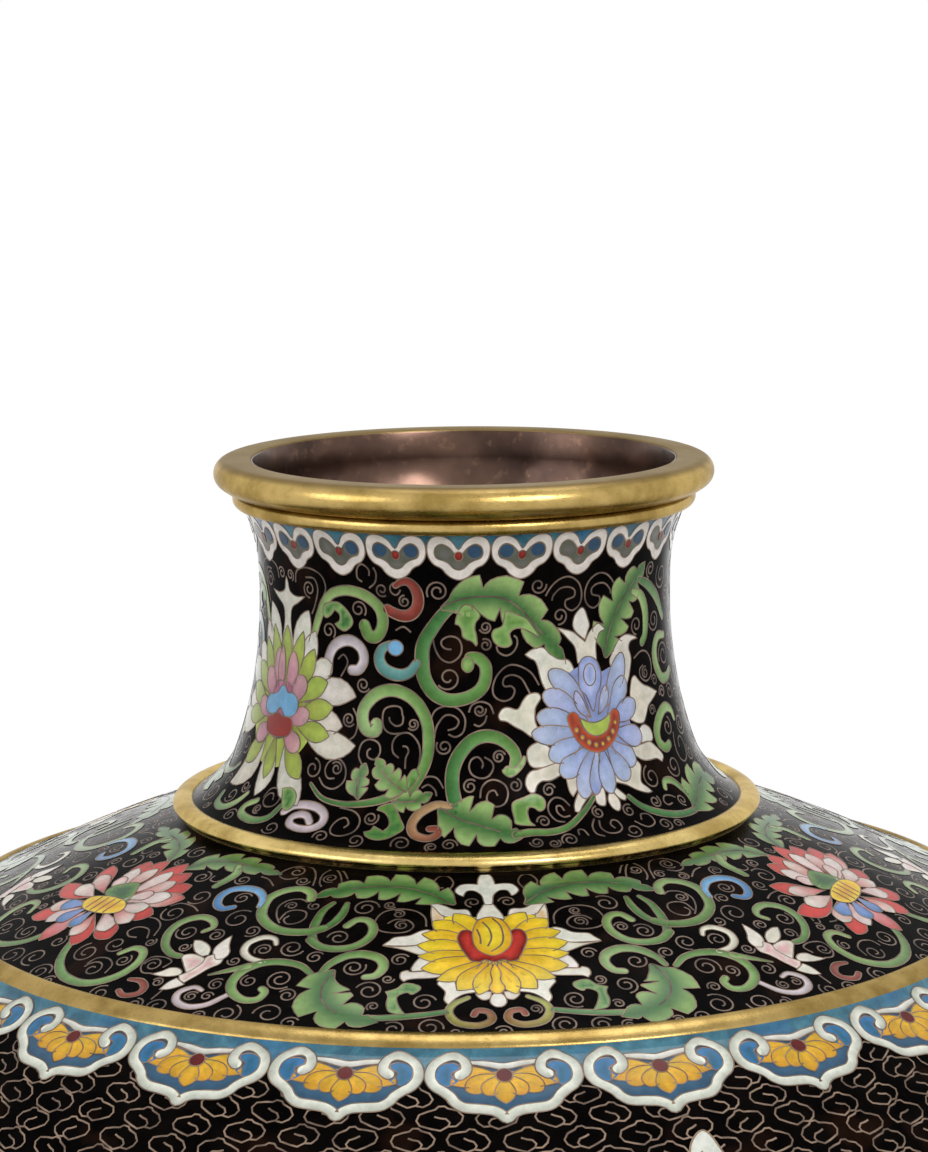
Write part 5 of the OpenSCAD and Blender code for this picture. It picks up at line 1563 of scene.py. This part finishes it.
class VASE_OT_cloud_ground(bpy.types.Operator):
    """Bend the cloud-shaped wires that fill the ground of the body"""

    bl_idname = "vase.cloud_ground"
    bl_label = "Cloud wires"

    def execute(self, context):
        sizes = context.scene.vase_sizes
        band = BODY_BAND
        hand = random.Random(CLOUD_SEED)
        shape = points(CLOUD)
        fewer = np.array([i % 3 != 1 or i == len(shape) - 1 for i in range(len(shape))])
        rows = []
        s = CLOUD_ZONE[0]
        while s < band.length - CLOUD_ZONE[1]:
            rows.append(s)
            s += sizes.cloud_rows / MM
        share = math.ceil(len(rows) / 3)
        for part in range(3):
            lines = []
            for index, s in list(enumerate(rows))[part * share:(part + 1) * share]:
                k = float(band.per_degree(s))
                n = round(360 * k / (sizes.cloud_pitch / MM))
                for i in range(n):
                    size = hand.uniform(*CLOUD_SIZE)
                    tilt = math.radians(hand.uniform(-CLOUD_TILT, CLOUD_TILT))
                    flip = -1 if hand.random() < CLOUD_TURNED else 1
                    p = (shape[fewer] if part else shape) * (flip * size, size)
                    turn = np.array([[math.cos(tilt), -math.sin(tilt)], [math.sin(tilt), math.cos(tilt)]])
                    p = p @ turn.T
                    az = 360 / n * (i + 0.5 * (index % 2)) + hand.uniform(-CLOUD_STRAY, CLOUD_STRAY)
                    lines.append((np.stack([az + p[:, 0] / k, s + p[:, 1]], -1), GROUND + WIRE_OVER, False))
            wires("cloud_wires_%d" % (part + 1), band, lines, (0,), "wire", sizes.curl_width)
        return {"FINISHED"}


# The middle of the blue lotus as drawn on the neck, and the neck's mm per degree there.
LOTUS_MIDDLE, LOTUS_PER_DEGREE = (36, 31.8), 0.6
# The rows of lotuses on the body: first angle, distance down, scale, and the colours of petals and tips.
BODY_ROWS = ((21, 45.5, 1.6, "lavender", "pale"), (57, 112, 1.6, "rose", "pink"),
             (21, 172, 1.22, "amber", "yellow"))


class VASE_OT_body_scroll(bpy.types.Operator):
    """Set the lotuses and scrolls of the body in three staggered rows"""

    bl_idname = "vase.body_scroll"
    bl_label = "Body scroll"

    def execute(self, context):
        sizes = context.scene.vase_sizes
        band = BODY_BAND
        turns = turns_of(BODY_TIMES)
        for row, (az, s, scale, petal, tip) in enumerate(BODY_ROWS, 1):
            lotus = BLUE_LOTUS.replace("lavender", petal).replace("pale", tip)
            place = (LOTUS_MIDDLE, LOTUS_PER_DEGREE, scale, (az, s))
            beside = ((0, 0), 1.0, scale / BODY_ROWS[0][2], (az, s))
            cells, lines = join([
                read_motif(lotus, band, fit=place, detail=3, over=FLOWER_OVER),
                read_motif(BODY_SCROLL, band, fit=beside),
                read_motif(BODY_SCROLL, band, fit=beside, mirror=0, over=NEXT_OVER),
            ])
            for slot, group in by_slot(cells):
                enamel_cells("body_row%d_%s" % (row, slot), band, group, turns, slot, grid=3.0)
            lines = show_wires(cells, lines, 360 / BODY_TIMES)
            wires("body_row%d_wires" % row, band, lines, turns, "wire", sizes.curl_width)
        return {"FINISHED"}


class VASE_OT_foot_border(bpy.types.Operator):
    """Set the border of upright petals above the foot"""

    bl_idname = "vase.foot_border"
    bl_label = "Petal border"

    def execute(self, context):
        sizes = context.scene.vase_sizes
        band = BODY_BAND
        start = band.length - PETAL_STRIP
        strip("petal_band", band, start, band.length, 24, "petal_ground")
        turns = turns_of(sizes.petals)
        cells, lines = read_motif(PETAL, band, shift=(0, start))
        fill = enamel_cells("upright_petals", band, cells, turns, "enamel_white", grid=2.0)
        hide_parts("petal_fills")
        o = wires("petal_cell_wires", band, lines, turns, "wire", sizes.wire_width)
        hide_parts("petal_wires")
        return {"FINISHED"}


# The lamps: name, place and width in metres, and power. All of them face one point on the axis.
LAMPS = (("key", (0.75, -1.25, 1.15), 0.7, 12.5), ("fill", (-1.25, -0.85, 0.85), 1.0, 6.5),
         ("top", (0.1, 0.35, 1.5), 0.9, 5))
LAMPS_AIM = (0, 0, 0.2)
# The camera: focal length, place in metres, and tilt and roll in degrees.
LENS, EYE, EYE_TILT, EYE_ROLL = 116.09, (-0.0001, -0.58755, 0.37694), 80.676, -0.447


class VASE_OT_stage(bpy.types.Operator):
    """Set the floor, the light and the camera"""

    bl_idname = "vase.stage"
    bl_label = "Stage"

    def execute(self, context):
        deselect()
        bpy.ops.mesh.primitive_plane_add(size=240, location=(0, 0, 0))
        floor = bpy.context.object
        floor.name = floor.data.name = "floor"
        m, t = material("pale_floor")
        grain = t.noise(t.node("ShaderNodeTexCoord", output="Object"), 3.0)
        base = t.mix(grain, (0.80, 0.80, 0.80), (0.84, 0.84, 0.84))
        glow = t.node("ShaderNodeEmission", {}, {"Color": (1, 1, 1, 1), "Strength": 1.0})
        diffuse = t.node("ShaderNodeBsdfDiffuse", {}, {"Color": base})
        away = t.node("ShaderNodeVectorMath", {"operation": "LENGTH"},
                      {0: t.node("ShaderNodeTexCoord", output="Object")}, "Value")
        share = t.looked_at() * t.ramp(away, 0.28, 0.62, 0.12, 1.0)
        t.out(t.node("ShaderNodeMixShader", {}, {0: share, 1: diffuse, 2: glow}))
        floor.data.materials.append(m)

        world = bpy.data.worlds.new("studio")
        context.scene.world = world
        w = Sheet(world)
        soft = w.node("ShaderNodeBackground", {}, {"Color": (1, 1, 1, 1), "Strength": 0.36})
        white = w.node("ShaderNodeBackground", {}, {"Color": (1, 1, 1, 1), "Strength": 1.0})
        both = w.node("ShaderNodeMixShader", {}, {0: w.looked_at(), 1: soft, 2: white})
        w.node("ShaderNodeOutputWorld", {}, {"Surface": both})

        for name, place, across, power in LAMPS:
            lamp = bpy.data.lights.new(name, "AREA")
            lamp.shape, lamp.size, lamp.energy = "DISK", across, power
            o = bpy.data.objects.new(name, lamp)
            context.collection.objects.link(o)
            o.location = place
            aim = Vector(LAMPS_AIM) - o.location
            o.rotation_euler = aim.to_track_quat("-Z", "Y").to_euler()

        eye = bpy.data.cameras.new("camera")
        eye.lens, eye.sensor_width, eye.sensor_fit = LENS, 36.0, "AUTO"
        eye.clip_start, eye.clip_end = 0.01, 500
        camera = bpy.data.objects.new("camera", eye)
        context.collection.objects.link(camera)
        camera.matrix_world = (Matrix.Translation(EYE)
                               @ Matrix.Rotation(math.radians(EYE_TILT), 4, "X")
                               @ Matrix.Rotation(math.radians(EYE_ROLL), 4, "Z"))
        context.scene.camera = camera
        context.scene.view_settings.view_transform = "Standard"
        return {"FINISHED"}


STEPS = (VASE_OT_stage, VASE_OT_metalwork, VASE_OT_copper, VASE_OT_grounds, VASE_OT_ruyi_border,
         VASE_OT_neck_scroll, VASE_OT_shoulder_scroll, VASE_OT_lappet_border, VASE_OT_cloud_ground,
         VASE_OT_body_scroll, VASE_OT_foot_border)


class VASE_PT_panel(bpy.types.Panel):
    """Lists the vase's sizes and steps"""

    bl_idname = "VASE_PT_panel"
    bl_label = "Cloisonne vase"
    bl_space_type = "VIEW_3D"
    bl_region_type = "UI"
    bl_category = "Vase"

    def draw(self, context):
        for settings in (context.scene.vase_sizes, context.scene.vase_tints):
            for name in type(settings).__annotations__:
                self.layout.prop(settings, name)
        for step in STEPS:
            self.layout.operator(step.bl_idname)


CLASSES = (VaseSizes, VaseTints, *STEPS, VASE_PT_panel)


def register():
    for c in CLASSES:
        bpy.utils.register_class(c)
    bpy.types.Scene.vase_sizes = bpy.props.PointerProperty(type=VaseSizes)
    bpy.types.Scene.vase_tints = bpy.props.PointerProperty(type=VaseTints)


def unregister():
    del bpy.types.Scene.vase_sizes
    del bpy.types.Scene.vase_tints
    for c in reversed(CLASSES):
        bpy.utils.unregister_class(c)


def main():
    register()
    for step in STEPS:
        group, name = step.bl_idname.split(".")
        getattr(getattr(bpy.ops, group), name)()
    bpy.context.view_layer.update()


if __name__ == "__main__":
    main()
